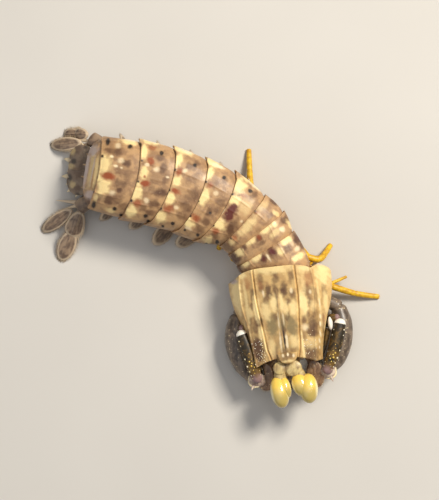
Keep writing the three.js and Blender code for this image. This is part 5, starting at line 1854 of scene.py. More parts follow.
@dataclass(frozen=True)
class Eye:
    """A stalked eye whose cornea has a large outer lobe and a small inner one."""

    side: Side
    lobes: tuple[Lobe, ...]
    stalk: tuple[Point, ...]
    scale: tuple[Point, Point, float]

    def cornea(self) -> None:
        """The two lobes."""
        made = Form(f"cornea_{self.side.word}")
        for lobe in self.lobes:
            ball(made, turned(lobe.middle, lobe.heading, -6.0), np.array(lobe.middle), lobe.half, 2.1, 72)
        put(made.name + "_glass", made.mesh(), Cornea("eye_glass"), Slot.EYE, [f"cornea_{self.side.word}"])

    def stem(self) -> None:
        """The stem and the small scale over its root."""
        made = Form(f"stalk_{self.side.word}")
        tube(made, self.stalk, ((1.6, 1.2), (1.9, 1.3), (1.9, 1.5)), sides=40)
        root, tip, half = np.array(self.scale[0]), np.array(self.scale[1]), self.scale[2]
        length = float(np.linalg.norm(tip - root))
        plate(made, aimed(root, tip, UP), oval(half, length, 0.55), (0, 0.5 * length), 0.35, 0.4)
        put(made.name, made.mesh(), EYE_STEM_SHELL, Slot.HEAD, [f"eyestalk_{self.side.word}"])

    def build(self) -> None:
        """Puts the eye in the scene."""
        self.cornea()
        self.stem()


EYES = (
    Eye(
        Side.LEFT,
        (Lobe((29.6, -34.9, 13.6), (2.8, 4.5, 2.8), 94), Lobe((27.1, -33.7, 13.5), (2.5, 3.7, 2.5), 108)),
        ((25.1, -28.2, 13.6), (26.3, -30.2, 13.6), (27.4, -32.0, 13.2)),
        ((23.6, -26.8, 14.8), (26.4, -30.6, 14.9), 2.4),
    ),
    Eye(
        Side.RIGHT,
        (Lobe((20.9, -36.1, 13.4), (2.7, 4.8, 2.8), 103), Lobe((22.6, -34.7, 13.3), (1.7, 3.4, 2.3), 104)),
        ((21.9, -28.6, 13.2), (21.2, -30.4, 13.3), (21.1, -32.2, 13.0)),
        ((21.5, -27.0, 14.6), (20.4, -30.6, 14.7), 1.9),
    ),
)


WHIP = {"Step": 0.00009, "Ring": 0.00036, "Depth": 0.09}


@dataclass(frozen=True)
class Feelers:
    """The feelers of one side: the inner one with three short whips, the outer with a scale and a whip."""

    side: Side
    scale: tuple[Point, Point]

    def reach(self, rows: Sequence[Sequence[float]]) -> Vec:
        """Points of this side in the head's terms."""
        return np.array([BODY.ahead(f, self.side.value * a, u) for f, a, u in rows])

    def whip(self, guide: Guide, rows: Sequence[Sequence[float]], thick: float, thin: float) -> None:
        """Adds a tapering whip through a few points to a guide."""
        line = Path(self.reach(rows)).at(np.linspace(0.0, 1.0, 60))
        guide.line(line, UP, np.linspace(thick, thin, 60))

    def inner(self) -> None:
        """The inner feeler."""
        made = Form(f"inner_feeler_{self.side.word}")
        stem = self.reach([(31.2, 1.0, 0.2), (33.8, 1.0, -1.6), (36.2, 1.1, -3.4)])
        waist = waisted((0.16, 0.36, 0.03), (0.16, 0.7, 0.03))
        tube(made, stem, ((0.85, 0.95), (0.75, 0.85), (0.65, 0.7)), steps=20, girth=waist)
        whips = Guide()
        for k in (-1, 0, 1):
            rows = [
                (35.8, 1.0 + 0.2 * k, -3.1),
                (38.0, 1.6 + 1.0 * k, -5.6),
                (37.8, 2.4 + 1.9 * k, -8.4),
                (35.6, 3.2 + 2.6 * k, -10.4),
            ]
            self.whip(whips, rows, 0.4, 0.24)
        grow(f"{made.name}_whips", whips.mesh(), whips_tree, FEELER_SHELL, Slot.CLEAR, **WHIP)
        put(made.name, made.mesh(), FEELER_SHELL, Slot.CLEAR, [f"antennule_{self.side.word}"])

    def outer(self) -> None:
        """The outer feeler with its scale."""
        made = Form(f"outer_feeler_{self.side.word}")
        base = self.reach([(25.6, 4.8, -2.3), (28.6, 6.2, -3.0), (31.0, 6.2, -3.8)])
        tube(made, base, ((1.7, 1.6), (1.9, 1.7), (1.3, 1.2)))
        root, tip = (np.array(end) for end in self.scale)
        length = float(np.linalg.norm(tip - root))
        axes = aimed(root, tip, BODY.head.up)

        def veins(a: Vec, b: Vec) -> Vec:
            """A ridge that fades towards the scale's end."""
            return 0.12 * hump(a, 0.0, 0.22) * (1 - ease(b / length, 0.6, 0.95))

        plate(made, axes, oval(2.5, length, 0.6), (0.0, 0.5 * length), 0.5, 0.3, relief=veins)
        stem = np.array([BODY.ahead(28.6, self.side.value * 6.2, -2.6), axes.point(0.0, 2.4)])
        tube(made, stem, ((1.2, 1.2), (0.9, 0.7)), sides=20)
        whips = Guide()
        rows = [(30.8, 6.2, -4.2), (34.6, 7.8, -7.6), (33.0, 10.4, -10.2), (27.0, 11.0, -10.9)]
        self.whip(whips, rows, 0.6, 0.25)
        grow(f"{made.name}_whip", whips.mesh(), whips_tree, FEELER_SHELL, Slot.CLEAR, **WHIP)
        hairs = Guide()
        hairs.rim(axes, oval(2.5, length, 0.6), 0.9, 0.15)
        grow(f"{made.name}_bristles", hairs.mesh(), bristles_tree, BRISTLE, Slot.CLEAR, **LIMB_HAIRS)
        put(made.name, made.mesh(), FEELER_SHELL, Slot.CLEAR, [f"antenna_{self.side.word}"])

    def build(self) -> None:
        """Puts both feelers in the scene."""
        self.inner()
        self.outer()


FEELERS = (
    Feelers(Side.LEFT, ((30.9, -26.4, 11.4), (32.2, -34.6, 9.8))),
    Feelers(Side.RIGHT, ((16.6, -27.4, 8.8), (17.0, -35.6, 7.7))),
)


# Limbs

# Beads of the hand: share of its length from the wrist, turn from its top in degrees, and size.
WHITE_BEADS = (
    (0.03, 50, 0.2), (0.1, 54, 0.26), (0.19, 54, 0.3), (0.3, 56, 0.34), (0.44, 56, 0.3), (0.58, 56, 0.24),
    (0.72, 56, 0.3), (0.86, 54, 0.22), (0.05, -60, 0.2), (0.14, -62, 0.24), (0.24, -60, 0.2),
    (0.36, -64, 0.28), (0.52, -60, 0.2), (0.68, -62, 0.26), (0.82, -56, 0.22), (0.1, 20, 0.18),
    (0.16, -24, 0.2), (0.06, -8, 0.16), (0.22, 30, 0.16), (0.3, -30, 0.16),
)
GOLD_BEADS = (
    (0.2, 6, 0.2), (0.25, -14, 0.24), (0.29, 12, 0.28), (0.34, 0, 0.22), (0.38, 16, 0.24),
    (0.41, -10, 0.18), (0.46, 8, 0.2), (0.52, -4, 0.16), (0.13, 4, 0.18), (0.33, -26, 0.16),
    (0.27, 34, 0.16),
)


@dataclass(frozen=True)
class Claw:
    """A folded claw: an arm in two pieces, a wrist, a hand with its comb, and a toothed finger."""

    side: Side
    ischium: tuple[Point, ...]
    merus: tuple[Point, ...]
    carpus: Point
    propodus: tuple[Point, ...]
    heel: tuple[Point, ...]
    finger: tuple[Point, ...]
    spot: Optional[Point] = None

    def arm(self) -> None:
        """The two pieces next to the body."""
        word = self.side.word
        near = Form(f"upper_arm_{word}")
        tube(near, self.ischium, ((2.0, 1.9), (1.8, 1.8), (2.1, 2.1)), sides=36)
        put(near.name, near.mesh(), ClearShell("clear_limb"), Slot.CLEAR, [f"ischium_{word}"])
        far = Form(f"arm_{word}")
        sizes = ((2.4, 2.6), (3.2, 3.2), (3.3, 3.3), (2.8, 2.9), (1.9, 2.0))
        tube(far, self.merus, sizes, sides=52, steps=14, rounding=0.75, bluff=True)
        put(far.name, far.mesh(), ClearShell("clear_limb"), Slot.CLEAR, [f"merus_{word}"])

    def wrist(self) -> None:
        """The wrist with its tooth."""
        made = Form(f"wrist_{self.side.word}")
        middle = np.array(self.carpus)

        def offset(out: float, along: float, up: float) -> Vec:
            """A point at distances from the wrist's middle."""
            return middle + np.array([out * self.side.value, along, up])

        ball(made, BODY.head, middle, (2.5, 2.2, 2.9), 2.3, 48)
        ball(made, BODY.head, offset(-1.5, 0.3, 0.7), (1.5, 1.9, 2.0), 2.2, 36)
        spots = ((2.1, 1.2, 1.2), (2.1, -0.8, 1.5), (1.0, -1.9, 1.7), (-0.6, -1.9, 1.5))
        rim = [offset(*spot) for spot in spots]
        tube(made, rim, ((0.25, 0.3), (0.32, 0.4), (0.32, 0.4), (0.2, 0.25)), sides=14, pale=0.9)
        thorn(made, offset(0.5, -0.6, 1.4), offset(1.4, -3.0, 2.7), 0.8, 0.8)
        put(made.name, made.mesh(), WRIST_SHELL, Slot.CLEAR, [f"carpus_{self.side.word}"])

    def hand(self) -> None:
        """The hand with the comb of small teeth on its inner side."""
        made = Form(f"hand_{self.side.word}")
        sizes = ((1.6, 1.5), (1.95, 1.7), (2.0, 1.75), (1.75, 1.6))
        tube(made, self.propodus, sizes, sides=52, steps=18, rounding=1.05)
        line = Path(self.propodus)
        for share in np.linspace(0.14, 0.9, 22):
            inward = unit(np.cross(line.way(share), BODY.head.up)) * -self.side.value
            base = line.at(share) + 1.45 * inward - 0.5 * BODY.head.up
            thorn(made, base, base + 0.95 * inward - 0.45 * BODY.head.up, 0.26)
        put(made.name, made.mesh(), Hand("claw_hand"), Slot.CLAW, [f"propodus_{self.side.word}"])
        self.beads(line)

    def beads(self, line: Path) -> None:
        """The white beads along both rims of the hand and the golden ones on its near half."""
        white, gold = Guide(), Guide()
        for share, turn, size in WHITE_BEADS:
            white.line(self.skin(line, share, turn), UP, size, joined=False)
        for share, turn, size in GOLD_BEADS:
            gold.line(self.skin(line, share, turn), UP, size, joined=False)
        word, values = self.side.word, {"Scale": 0.95, "Unevenness": 0.25, "Seed": 3}
        grow(f"hand_{word}_white_beads", white.mesh(), beads_tree, WHITE_BEAD, Slot.CLAW, **values)
        grow(f"hand_{word}_gold_beads", gold.mesh(), beads_tree, GOLD_BEAD, Slot.CLAW, **values)

    def skin(self, line: Path, share: float, turn: float) -> Vec:
        """A point on the hand's upper side, turned from straight up by degrees, outwards if more than 0."""
        way = line.way(share)
        aside = unit(np.cross(way, UP)) * self.side.value
        up = np.cross(aside, way) * self.side.value
        breadth = 1.86 - 0.3 * hump(share, 0.0, 0.25)
        spoke = math.radians(turn)
        reach = breadth * math.sin(spoke) * aside + (breadth - 0.15) * math.cos(spoke) * up
        return line.at(share) + 0.97 * reach

    def thumb(self) -> None:
        """The finger with its heel, its pale spot and its six long teeth."""
        made = Form(f"finger_{self.side.word}")
        tube(made, self.heel, ((1.0, 1.1), (1.2, 1.3), (0.95, 0.95)), sides=24)
        if self.spot:
            ball(made, BODY.head, np.array(self.spot), (0.75, 2.0, 0.9), pale=0.95)
        tube(made, self.finger, ((0.9, 0.9), (0.75, 0.8), (0.6, 0.65), (0.3, 0.3)), sides=24)
        line = Path(self.finger)
        for k in range(6):
            share, reach = between(0.06, 0.86, k / 5), between(0.9, 1.7, k / 5)
            base = line.at(share)
            tip = base + 0.5 * self.side.value * reach * BODY.head.across - 0.8 * reach * BODY.head.up
            thorn(made, base, tip + 0.9 * line.way(share), 0.5, 0.7, 0.12)
        put(made.name, made.mesh(), Hand("claw_finger"), Slot.CLAW, [f"dactylus_{self.side.word}"])

    def build(self) -> None:
        """Puts the claw in the scene."""
        self.arm()
        self.wrist()
        self.hand()
        self.thumb()


CLAWS = (
    Claw(
        Side.LEFT,
        ischium=((29.4, -9.4, 8.4), (34.6, -8.6, 6.2), (38.2, -10.2, 5.9)),
        merus=(
            (38.9, -11.4, 5.9),
            (39.6, -15.4, 6.0),
            (39.4, -21.2, 6.1),
            (37.9, -26.2, 6.3),
            (36.6, -28.6, 6.6),
        ),
        carpus=(35.6, -30.0, 9.0),
        propodus=((35.3, -29.2, 12.0), (36.9, -24.8, 12.4), (38.3, -19.4, 12.4), (39.0, -15.6, 12.2)),
        heel=((38.2, -13.6, 11.6), (36.2, -14.0, 11.0), (35.4, -16.4, 10.4)),
        finger=((35.5, -15.8, 10.4), (35.0, -19.6, 10.2), (33.8, -24.4, 10.2), (32.6, -28.6, 10.8)),
        spot=(36.1, -15.4, 12.0),
    ),
    Claw(
        Side.RIGHT,
        ischium=((15.8, -9.8, 5.6), (11.6, -11.4, 4.6), (8.6, -13.0, 4.6)),
        merus=(
            (8.2, -14.2, 4.7),
            (7.8, -17.6, 4.8),
            (8.0, -22.4, 4.9),
            (9.9, -28.0, 5.2),
            (12.0, -31.2, 5.5),
        ),
        carpus=(13.9, -32.6, 7.4),
        propodus=((14.1, -31.9, 10.4), (12.5, -27.4, 11.0), (10.9, -22.4, 11.0), (9.6, -19.0, 10.8)),
        heel=((9.4, -16.9, 10.2), (11.4, -16.9, 9.6), (12.4, -19.2, 9.0)),
        finger=((12.3, -18.8, 9.0), (13.6, -22.6, 8.8), (15.0, -27.2, 8.8), (16.2, -31.0, 9.2)),
    ),
)


@dataclass(frozen=True)
class MouthLimb:
    """A slender arm folded under the mouth, with a round flat hand."""

    number: int
    side: Side

    def build(self) -> None:
        """Puts the arm in the scene."""
        k, sign = self.number - 3, self.side.value
        root, out = 21.6 - 3.3 * k, 3.2 + 1.2 * k

        def at(forward: float, inward: float, up: float) -> Vec:
            """A point at distances from the arm's root."""
            return BODY.ahead(root + forward, sign * (out - inward), up)

        made = Form(f"mouth_arm_{self.number}_{self.side.word}")
        rows = [at(0, 0, -4.9), at(-1.6, -2.6, -8.6), at(3.0, -2.0, -10.6), at(5.0, 0, -9.8)]
        waist = waisted((0.15, 0.34, 0.025), (0.15, 0.67, 0.025))
        tube(made, rows, ((0.9, 0.9), (0.75, 0.8), (0.8, 0.8), (0.7, 0.7)), sides=20, steps=16, girth=waist)
        axes = aimed(at(4.6, 0, -9.9), at(8.4, 1.0, -8.0), BODY.head.across)
        plate(made, axes, oval(1.5, 3.8, 0.5, count=48), (0, 1.9), 0.6, 0.55, rings=6)
        thorn(made, at(7.8, 0.9, -8.3), at(6.2, 1.0, -6.4), 0.4, curl=0.2)
        node = f"maxilliped_{self.number}_{self.side.word}"
        put(made.name, made.mesh(), Belly("belly"), Slot.UNDER, [node])


@dataclass(frozen=True)
class WalkingLeg:
    """A walking leg: a stout base, a bent stem with a blunt foot, and a slender side branch."""

    name: str
    ring: int
    side: Side
    knee: Point
    shin: Point
    ankle: Point
    foot: Point
    branch: Point

    def build(self) -> None:
        """Puts the leg in the scene."""
        at, sign = BODY.station(self.ring, 0.55), self.side.value
        root, under = at.axes.point(sign * 5.6, 0, -3.2), at.axes.point(sign * 6.2, 0, -5.6)
        bend, shin, ankle, foot = (np.array(p) for p in (self.knee, self.shin, self.ankle, self.foot))
        made = Form(f"walking_leg_{self.name}")
        waist = waisted((0.14, 0.45, 0.03))
        stout = ((1.5, 1.5), (1.3, 1.4), (0.95, 1.05))
        tube(made, [root, under, bend], stout, at.axes.along, 32, 16, girth=waist)
        joints = waisted((0.17, 0.31, 0.014), (0.14, 0.66, 0.014), (-0.07, 0.27, 0.03))
        sizes = ((1.0, 1.05), (1.0, 1.05), (0.9, 0.9), (0.75, 0.5))
        lift = np.array([0.0, 0.0, 0.32])
        tube(made, [bend, shin, ankle, foot + lift], sizes, sides=32, steps=24, girth=joints)
        twig = between(bend, shin, 0.6)
        middle = between(twig, np.array(self.branch), 0.5) + 0.4 * UP
        tube(made, [twig, middle, self.branch], ((0.55, 0.5), (0.5, 0.45), (0.42, 0.38)), sides=20)
        put(made.name, made.mesh(), YellowLeg("yellow_leg"), Slot.LEG, [f"leg_{self.name}"])


LEGS = (
    WalkingLeg(
        "left_1",
        0,
        Side.LEFT,
        knee=(32.0, -3.0, 6.4),
        shin=(37.4, -4.6, 4.8),
        ankle=(43.8, -6.5, 2.6),
        foot=(50.8, -7.5, 0.2),
        branch=(41.0, -1.5, 3.6),
    ),
    WalkingLeg(
        "left_2",
        1,
        Side.LEFT,
        knee=(29.6, 4.4, 5.4),
        shin=(33.0, 3.9, 4.4),
        ankle=(34.9, 5.9, 2.4),
        foot=(36.4, 8.1, 0.2),
        branch=(28.6, 0.8, 3.4),
    ),
    WalkingLeg(
        "left_3",
        2,
        Side.LEFT,
        knee=(14.4, 20.6, 6.0),
        shin=(12.4, 25.4, 4.8),
        ankle=(11.9, 31.0, 2.6),
        foot=(11.7, 36.8, 0.2),
        branch=(11.0, 21.6, 3.2),
    ),
    WalkingLeg(
        "right_1",
        0,
        Side.RIGHT,
        knee=(11.6, 1.4, 5.4),
        shin=(11.2, 0.4, 3.6),
        ankle=(11.0, -0.4, 1.9),
        foot=(10.8, -1.2, 0.2),
        branch=(13.8, -1.2, 3.0),
    ),
    WalkingLeg(
        "right_2",
        1,
        Side.RIGHT,
        knee=(8.8, 6.6, 5.4),
        shin=(7.8, 5.4, 3.8),
        ankle=(7.2, 4.4, 1.9),
        foot=(6.8, 3.6, 0.2),
        branch=(9.8, 3.4, 3.0),
    ),
    WalkingLeg(
        "right_3",
        2,
        Side.RIGHT,
        knee=(4.6, 10.4, 5.4),
        shin=(3.6, 8.8, 3.8),
        ankle=(3.0, 7.8, 1.9),
        foot=(2.6, 7.0, 0.2),
        branch=(6.0, 7.4, 3.0),
    ),
)


@dataclass(frozen=True)
class Swimmeret:
    """A swimming limb under the tail: a stalk with two paddles and a tuft of gills."""

    number: int
    side: Side
    spread: float

    def build(self) -> None:
        """Puts the limb in the scene."""
        at, sign = BODY.station(self.number + 2, 0.42), self.side.value
        size = 0.8 if self.number == 1 else 1.0
        out = unit(at.axes.across * sign * np.array([1, 1, 0]))
        back = unit(at.axes.along * np.array([1, 1, 0]))

        def place(outward: float, rearward: float, height: float) -> Vec:
            """A point beside the ring at a height over the floor."""
            return np.array([*at.axes.origin[:2], height]) + outward * out + rearward * back

        belly = float(at.axes.point(0, 0, -at.belly)[2])
        fork = place(7.2, 0.4, belly - 2.2)
        made = Form(f"swimmeret_{self.number}_{self.side.word}")
        stalk = [place(6.4, 0, belly + 1.4), place(6.9, 0.2, belly - 0.6), fork]
        tube(made, stalk, ((1.3, 1.0), (1.4, 1.0), (1.0, 0.8)), back, 32)
        tip = place(11.2 + 5.4 * self.spread, 2.6, between(1.6, belly - 5.2, self.spread))
        root = fork - 0.2 * out
        length = float(np.linalg.norm(tip - fork))

        def ribs(a: Vec, b: Vec) -> Vec:
            """Fine ribs that fan out from the root, and one down the middle."""
            return 0.03 * np.sin(8.0 * np.arctan2(a, b + 0.8) * 4.0) + 0.1 * hump(a, 0.0, 0.25)

        outer = aimed(root, tip, UP - back)
        plate(made, outer, oval(3.4 * size, length + 0.4, 0.6), (0, 4.2), 0.5, 0.25, relief=ribs)
        hairs = Guide()
        hairs.rim(outer, oval(3.4 * size, length + 0.4, 0.6), 0.9, 0.25)
        low = place(6.0, 1.4, 0.1)
        length = float(np.linalg.norm(low - fork))
        axes = aimed(fork - 0.3 * UP, low, -back)
        plate(made, axes, oval(2.8 * size, length - 0.1, 0.62), (0, 4.2), 0.6, 0.35, relief=ribs)
        hairs.rim(axes, oval(2.8 * size, length - 0.1, 0.62), 0.8, 0.25)
        grow(f"{made.name}_bristles", hairs.mesh(), bristles_tree, BRISTLE, Slot.FIN, **LIMB_HAIRS)
        for k in range(3):
            tip = place(3.4 + 0.5 * k, 1.6 + 0.5 * k, belly - 3.4 - 0.7 * k)
            thorn(made, fork + 0.2 * back, tip, 0.42, curl=0.3)
        node = f"pleopod_{self.number}_{self.side.word}"
        put(made.name, made.mesh(), Fin("swimmeret_fin"), Slot.FIN, [node])


# How far each swimming limb stands out, from the front.
SPREADS = {Side.LEFT: (0.1, 0.1, 0.1, 0.1, 0.1), Side.RIGHT: (0.1, 0.75, 1.1, 0.55, 0.35)}
SWIMMERETS = tuple(
    Swimmeret(number, side, spread)
    for side, spreads in SPREADS.items()
    for number, spread in enumerate(spreads, 1)
)


# The tail fan


@dataclass(frozen=True)
class Tooth:
    """A tooth of the tail plate's rear edge, from its root to its tip as across and along."""

    root: tuple[float, float]
    tip: tuple[float, float]
    radius: float


@dataclass(frozen=True)
class TailPlate:
    """The tail plate: a keel down its middle, a thick rim and six main teeth."""

    length: float = 9.2
    half: float = 7.0
    edge: float = 0.8
    swell: float = 1.3
    keel: float = 0.6
    heading: float = 171.0
    pitch: float = -45.0
    widths: tuple[tuple[float, float], ...] = (
        (0, 0.86),
        (0.22, 1.06),
        (0.55, 1.1),
        (0.8, 0.98),
        (0.93, 0.8),
        (1, 0.62),
    )
    teeth: tuple[Tooth, ...] = (
        Tooth((5.6, 3.2), (8.3, 5.2), 0.8),
        Tooth((4.6, 4.8), (7.1, 9.0), 1.25),
        Tooth((2.3, 6.6), (2.65, 12.1), 1.35),
        Tooth((4.4, 7.2), (4.9, 10.0), 0.6),
        Tooth((0.9, 7.6), (0.9, 10.2), 0.5),
    )

    @property
    def axes(self) -> Axes:
        """Where the plate lies."""
        rear = BODY.rear.axes
        tilt = BODY.edges[-1].roll
        return turned(rear.point(0, 0.9, 0.9), self.heading, self.pitch, tilt)

    def build(self) -> None:
        """Puts the plate in the scene."""
        made = Form("tail_plate")
        axes, shares = self.axes, np.linspace(0.0, 1.0, 48)
        knots = np.array(self.widths)
        inner, middle = np.linspace(0, 0.14, 9)[:-1], np.linspace(0.14, 0.85, 22)
        part = np.concatenate([inner, middle, [0.9, 0.94, 0.97, 0.99]])
        rings, places = [], []
        for share in shares:
            half = self.half * float(np.interp(share, knots[:, 0], knots[:, 1]))
            crest = self.swell * math.sin(math.pi * between(0.25, 0.97, share))
            keel = self.keel * hump(part, 0.0, 0.045) * (1 - ease(share, 0.6, 1.0))
            rows = sum(0.1 * hump(part, 0.3 + 0.18 * n + 0.1 * share, 0.03) for n in range(3))
            rim = 0.16 * hump(part, 0.94, 0.05)
            top = self.edge / 2 + crest * (1 - part**2) + keel + rows * ease(share, 0.05, 0.3) + rim
            corners = [(1.0, 0.0), (0.985, -0.3), (0.9, -0.42), (0.6, -0.48), (0.3, -0.54), (0.0, -0.56)]
            low = np.array(corners)
            across = np.concatenate([part, low[:, 0]]) * half
            up = np.concatenate([top, low[:, 1] * self.edge / 0.8])
            side = [axes.point(sign * across, share * self.length, up) for sign in (1, -1)]
            rings.append(closed(*side))
            turn = np.concatenate([across, -across[-2:0:-1]])
            places.append(np.stack([turn, 0 * turn + share * self.length, 0 * turn], -1))
        points = np.array(rings)
        made.skin(points, np.array(places), layers=painted(points, TAIL_MARKS, self.heading))
        for tooth in self.teeth:
            for sign in (1, -1):
                ends = [axes.point(sign * a, b, 0.05) for a, b in (tooth.root, tooth.tip)]
                thorn(made, ends[0], ends[1], tooth.radius * 1.15, 0.6, hint=axes.up, pale=0.8)
        # The tail plate's darkened shell is painted shade.
        put("tail_plate", made.mesh(), SHADED_TAIL_SHELL, Slot.BACK, ["telson"])


@dataclass(frozen=True)
class TailBlade:
    """One side of the tail fan: a base with a forked spine, a two-part outer blade and an inner blade."""

    side: Side
    base: tuple[Point, Point]
    outer: tuple[Point, Point]
    inner: tuple[Point, Point]
    fork: tuple[Point, Point]

    def stem(self) -> None:
        """The base with its forked spine."""
        made = Form(f"fan_base_{self.side.word}")
        root = BODY.rear.axes.point(self.side.value * 6.9, -1.0, -0.8)
        middle, end = (np.array(p) for p in self.base)
        tube(made, [root, middle, end], ((1.5, 1.4), (2.2, 1.4), (2.3, 1.2)), sides=36, steps=14)
        for k, tip in enumerate(self.fork):
            thorn(made, between(middle, end, 0.3), np.array(tip), 0.85 - 0.1 * k, 0.7, pale=0.8)
        put(made.name, made.mesh(), Fin("fan_fin"), Slot.FIN, [f"uropod_base_{self.side.word}"])

    def blade(self) -> None:
        """The outer blade."""
        made = Form(f"fan_outer_{self.side.word}")
        root, tip = (np.array(p) for p in self.outer)
        axes, length = aimed(root, tip, UP), float(np.linalg.norm(tip - root))
        half = 2.7 * min(1.0, length / 13.0)
        split = 0.45 * length

        def keel(a: Vec, b: Vec) -> Vec:
            """A ridge beside the middle of the near part."""
            return 0.2 * hump(a, 0.15 * self.side.value, 0.3)

        def rays(a: Vec, b: Vec) -> Vec:
            """Fine rays, and a ridge down the middle of the far part."""
            return 0.035 * np.sin(9.0 * a) + 0.12 * hump(a, 0.0, 0.2)

        plate(made, axes, oval(half, split + 0.8, 0.7), (0, 0.6 * split), 0.75, 0.6, relief=keel)
        far = oval(half * 0.92, length - split + 0.8, 0.5, split - 0.8)
        plate(made, axes, far, (0, (length + split) / 2), 0.5, 0.35, relief=rays)
        hairs = Guide()
        hairs.rim(axes, far, 1.1, 0.12)
        grow(f"{made.name}_bristles", hairs.mesh(), bristles_tree, BRISTLE, Slot.FIN, **FAN_HAIRS)
        for k in range(8):
            along = between(0.35, 1.0, k / 7) * split
            reach = half * (0.8 + 0.2 * math.sin(math.pi * k / 7))
            base = axes.point(self.side.value * (reach - 0.7), along - 0.4)
            tip = axes.point(self.side.value * (reach + 0.7), along + 1.4)
            thorn(made, base, tip, 0.36, pale=0.9)
        put(made.name, made.mesh(), Fin("fan_fin"), Slot.FIN, [f"uropod_outer_{self.side.word}"])

    def leaf(self) -> None:
        """The inner blade."""
        made = Form(f"fan_inner_{self.side.word}")
        root, tip = (np.array(p) for p in self.inner)
        axes, length = aimed(root, tip, UP), float(np.linalg.norm(tip - root))

        def rays(a: Vec, b: Vec) -> Vec:
            """Fine rays, and a ridge down the middle."""
            return 0.03 * np.sin(10.0 * a) + 0.12 * hump(a, 0.0, 0.2)

        def bow(a: Vec, b: Vec) -> Vec:
            """The blade's arch along its length."""
            return 0.6 * np.sin(math.pi * b / length)

        plate(made, axes, oval(1.9, length, 0.5), (0, 0.5 * length), 0.5, 0.3, bow, rays)
        hairs = Guide()
        hairs.rim(axes, oval(1.9, length, 0.5), 1.0, 0.2, bow)
        grow(f"{made.name}_bristles", hairs.mesh(), bristles_tree, BRISTLE, Slot.FIN, **FAN_HAIRS)
        put(made.name, made.mesh(), Fin("fan_fin"), Slot.FIN, [f"uropod_inner_{self.side.word}"])

    def build(self) -> None:
        """Puts this side of the tail fan in the scene."""
        self.stem()
        self.blade()
        self.leaf()


TAIL_BLADES = (
    TailBlade(
        Side.LEFT,
        base=((-33.2, 38.4, 7.4), (-35.6, 40.0, 6.2)),
        outer=((-36.8, 41.3, 5.6), (-43.8, 41.6, 0.4)),
        inner=((-38.8, 39.0, 5.0), (-47.8, 38.2, 0.4)),
        fork=((-43.6, 36.9, 1.4), (-41.6, 40.2, 3.2)),
    ),
    TailBlade(
        Side.RIGHT,
        base=((-37.0, 21.2, 7.0), (-39.2, 19.4, 5.8)),
        outer=((-38.9, 18.1, 5.4), (-45.0, 3.6, 0.4)),
        inner=((-41.7, 18.7, 4.6), (-50.4, 12.4, 0.4)),
        fork=((-46.6, 21.6, 1.0), (-45.2, 18.6, 2.2)),
    ),
)


# The studio


@dataclass(frozen=True)
class Lamp:
    """A soft square lamp that points at the animal."""

    name: str
    place: Point
    size: float
    power: float
    colour: Colour = (1.0, 1.0, 1.0)


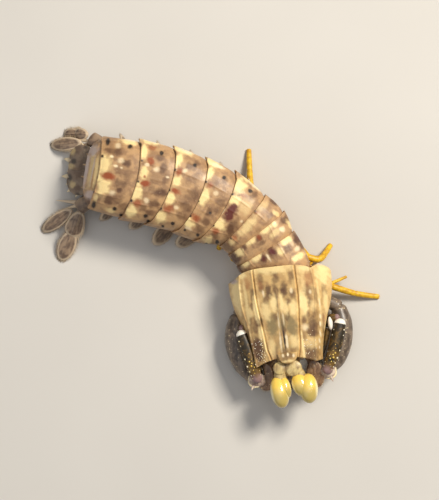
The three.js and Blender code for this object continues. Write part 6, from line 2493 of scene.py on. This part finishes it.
@dataclass(frozen=True)
class Studio:
    """The floor, the light and the camera."""

    picture: tuple[int, int] = (439, 500)
    pixel: float = 0.3
    centre: tuple[float, float] = (2.85, 6.6)
    body_height: float = 13.0
    distance: float = 2000.0
    sensor: float = 24.0
    floor_reach: float = 1.5
    sky_colour: tuple[float, float, float, float] = (0.9, 0.93, 1.0, 1.0)
    sky_strength: float = 0.16
    lamps: tuple[Lamp, ...] = (
        Lamp("key_lamp", (0.42, 0.34, 0.62), 0.22, 7.5, (1.0, 0.95, 0.86)),
        Lamp("fill_lamp", (-0.6, -0.3, 0.6), 0.9, 1.5, (0.93, 0.96, 1.0)),
        Lamp("top_lamp", (0.0, 0.1, 0.95), 0.7, 1.6),
    )

    def floor(self) -> None:
        """A plain pale floor."""
        mesh = bpy.data.meshes.new("floor")
        far = self.floor_reach
        corners = [(-far, -far, 0), (far, -far, 0), (far, far, 0), (-far, far, 0)]
        mesh.from_pydata(corners, [], [(0, 1, 2, 3)])
        floor = bpy.data.objects.new("floor", mesh)
        bpy.context.scene.collection.objects.link(floor)
        made = bpy.data.materials.new("pale_floor")
        made.use_nodes = True
        made.node_tree.nodes.clear()
        board = Board(made.node_tree)
        haze = board.noise(board.here(), 60.0, 2.0)
        colour = board.mix(haze, tint(0.80, 0.78, 0.75), tint(0.84, 0.82, 0.79))
        shader = board.node("ShaderNodeBsdfPrincipled", None, Base_Color=colour, Roughness=0.85)
        board.node("ShaderNodeOutputMaterial", None, Surface=board.out(shader))
        mesh.materials.append(made)

    def light(self) -> None:
        """Soft lamps and a grey sky."""
        for lamp in self.lamps:
            data = bpy.data.lights.new(lamp.name, "AREA")
            data.size, data.energy, data.color = lamp.size, lamp.power, lamp.colour
            made = bpy.data.objects.new(lamp.name, data)
            made.location = lamp.place
            made.rotation_euler = (-made.location).to_track_quat("-Z", "Y").to_euler()
            bpy.context.scene.collection.objects.link(made)
        world = bpy.data.worlds.new("sky")
        world.use_nodes = True
        sky = world.node_tree.nodes["Background"]
        sky.inputs["Color"].default_value = self.sky_colour
        sky.inputs["Strength"].default_value = self.sky_strength
        bpy.context.scene.world = world

    def camera(self) -> None:
        """A camera straight above, framed as the photograph is."""
        data = bpy.data.cameras.new("camera")
        wide, high = self.picture
        data.sensor_fit = "VERTICAL" if high > wide else "HORIZONTAL"
        data.sensor_height = self.sensor
        data.lens = self.sensor * self.distance / (high * self.pixel)
        data.clip_start, data.clip_end = 0.1, 10.0
        made = bpy.data.objects.new("camera", data)
        across, down = self.centre[0] - MIDDLE[0], self.centre[1] - MIDDLE[1]
        made.location = np.array([across, down, self.body_height + self.distance]) * MILLIMETRE
        bpy.context.scene.collection.objects.link(made)
        bpy.context.scene.camera = made

    def build(self) -> None:
        """Puts the studio in the scene."""
        bpy.context.scene.view_settings.view_transform = "Standard"
        self.floor()
        self.light()
        self.camera()


def main() -> None:
    """Builds the animal and its studio."""
    logging.basicConfig(level=logging.INFO, format="%(message)s")
    Studio().build()
    for index in range(8):
        Ring(index).build()
    LastRing(8).build()
    parts = [Shield(), Face(), *EYES, *FEELERS, *CLAWS, *LEGS, *SWIMMERETS, TailPlate(), *TAIL_BLADES]
    parts += [MouthLimb(number, side) for number in (3, 4, 5) for side in Side]
    for part in parts:
        part.build()


if __name__ == "__main__":
    main()
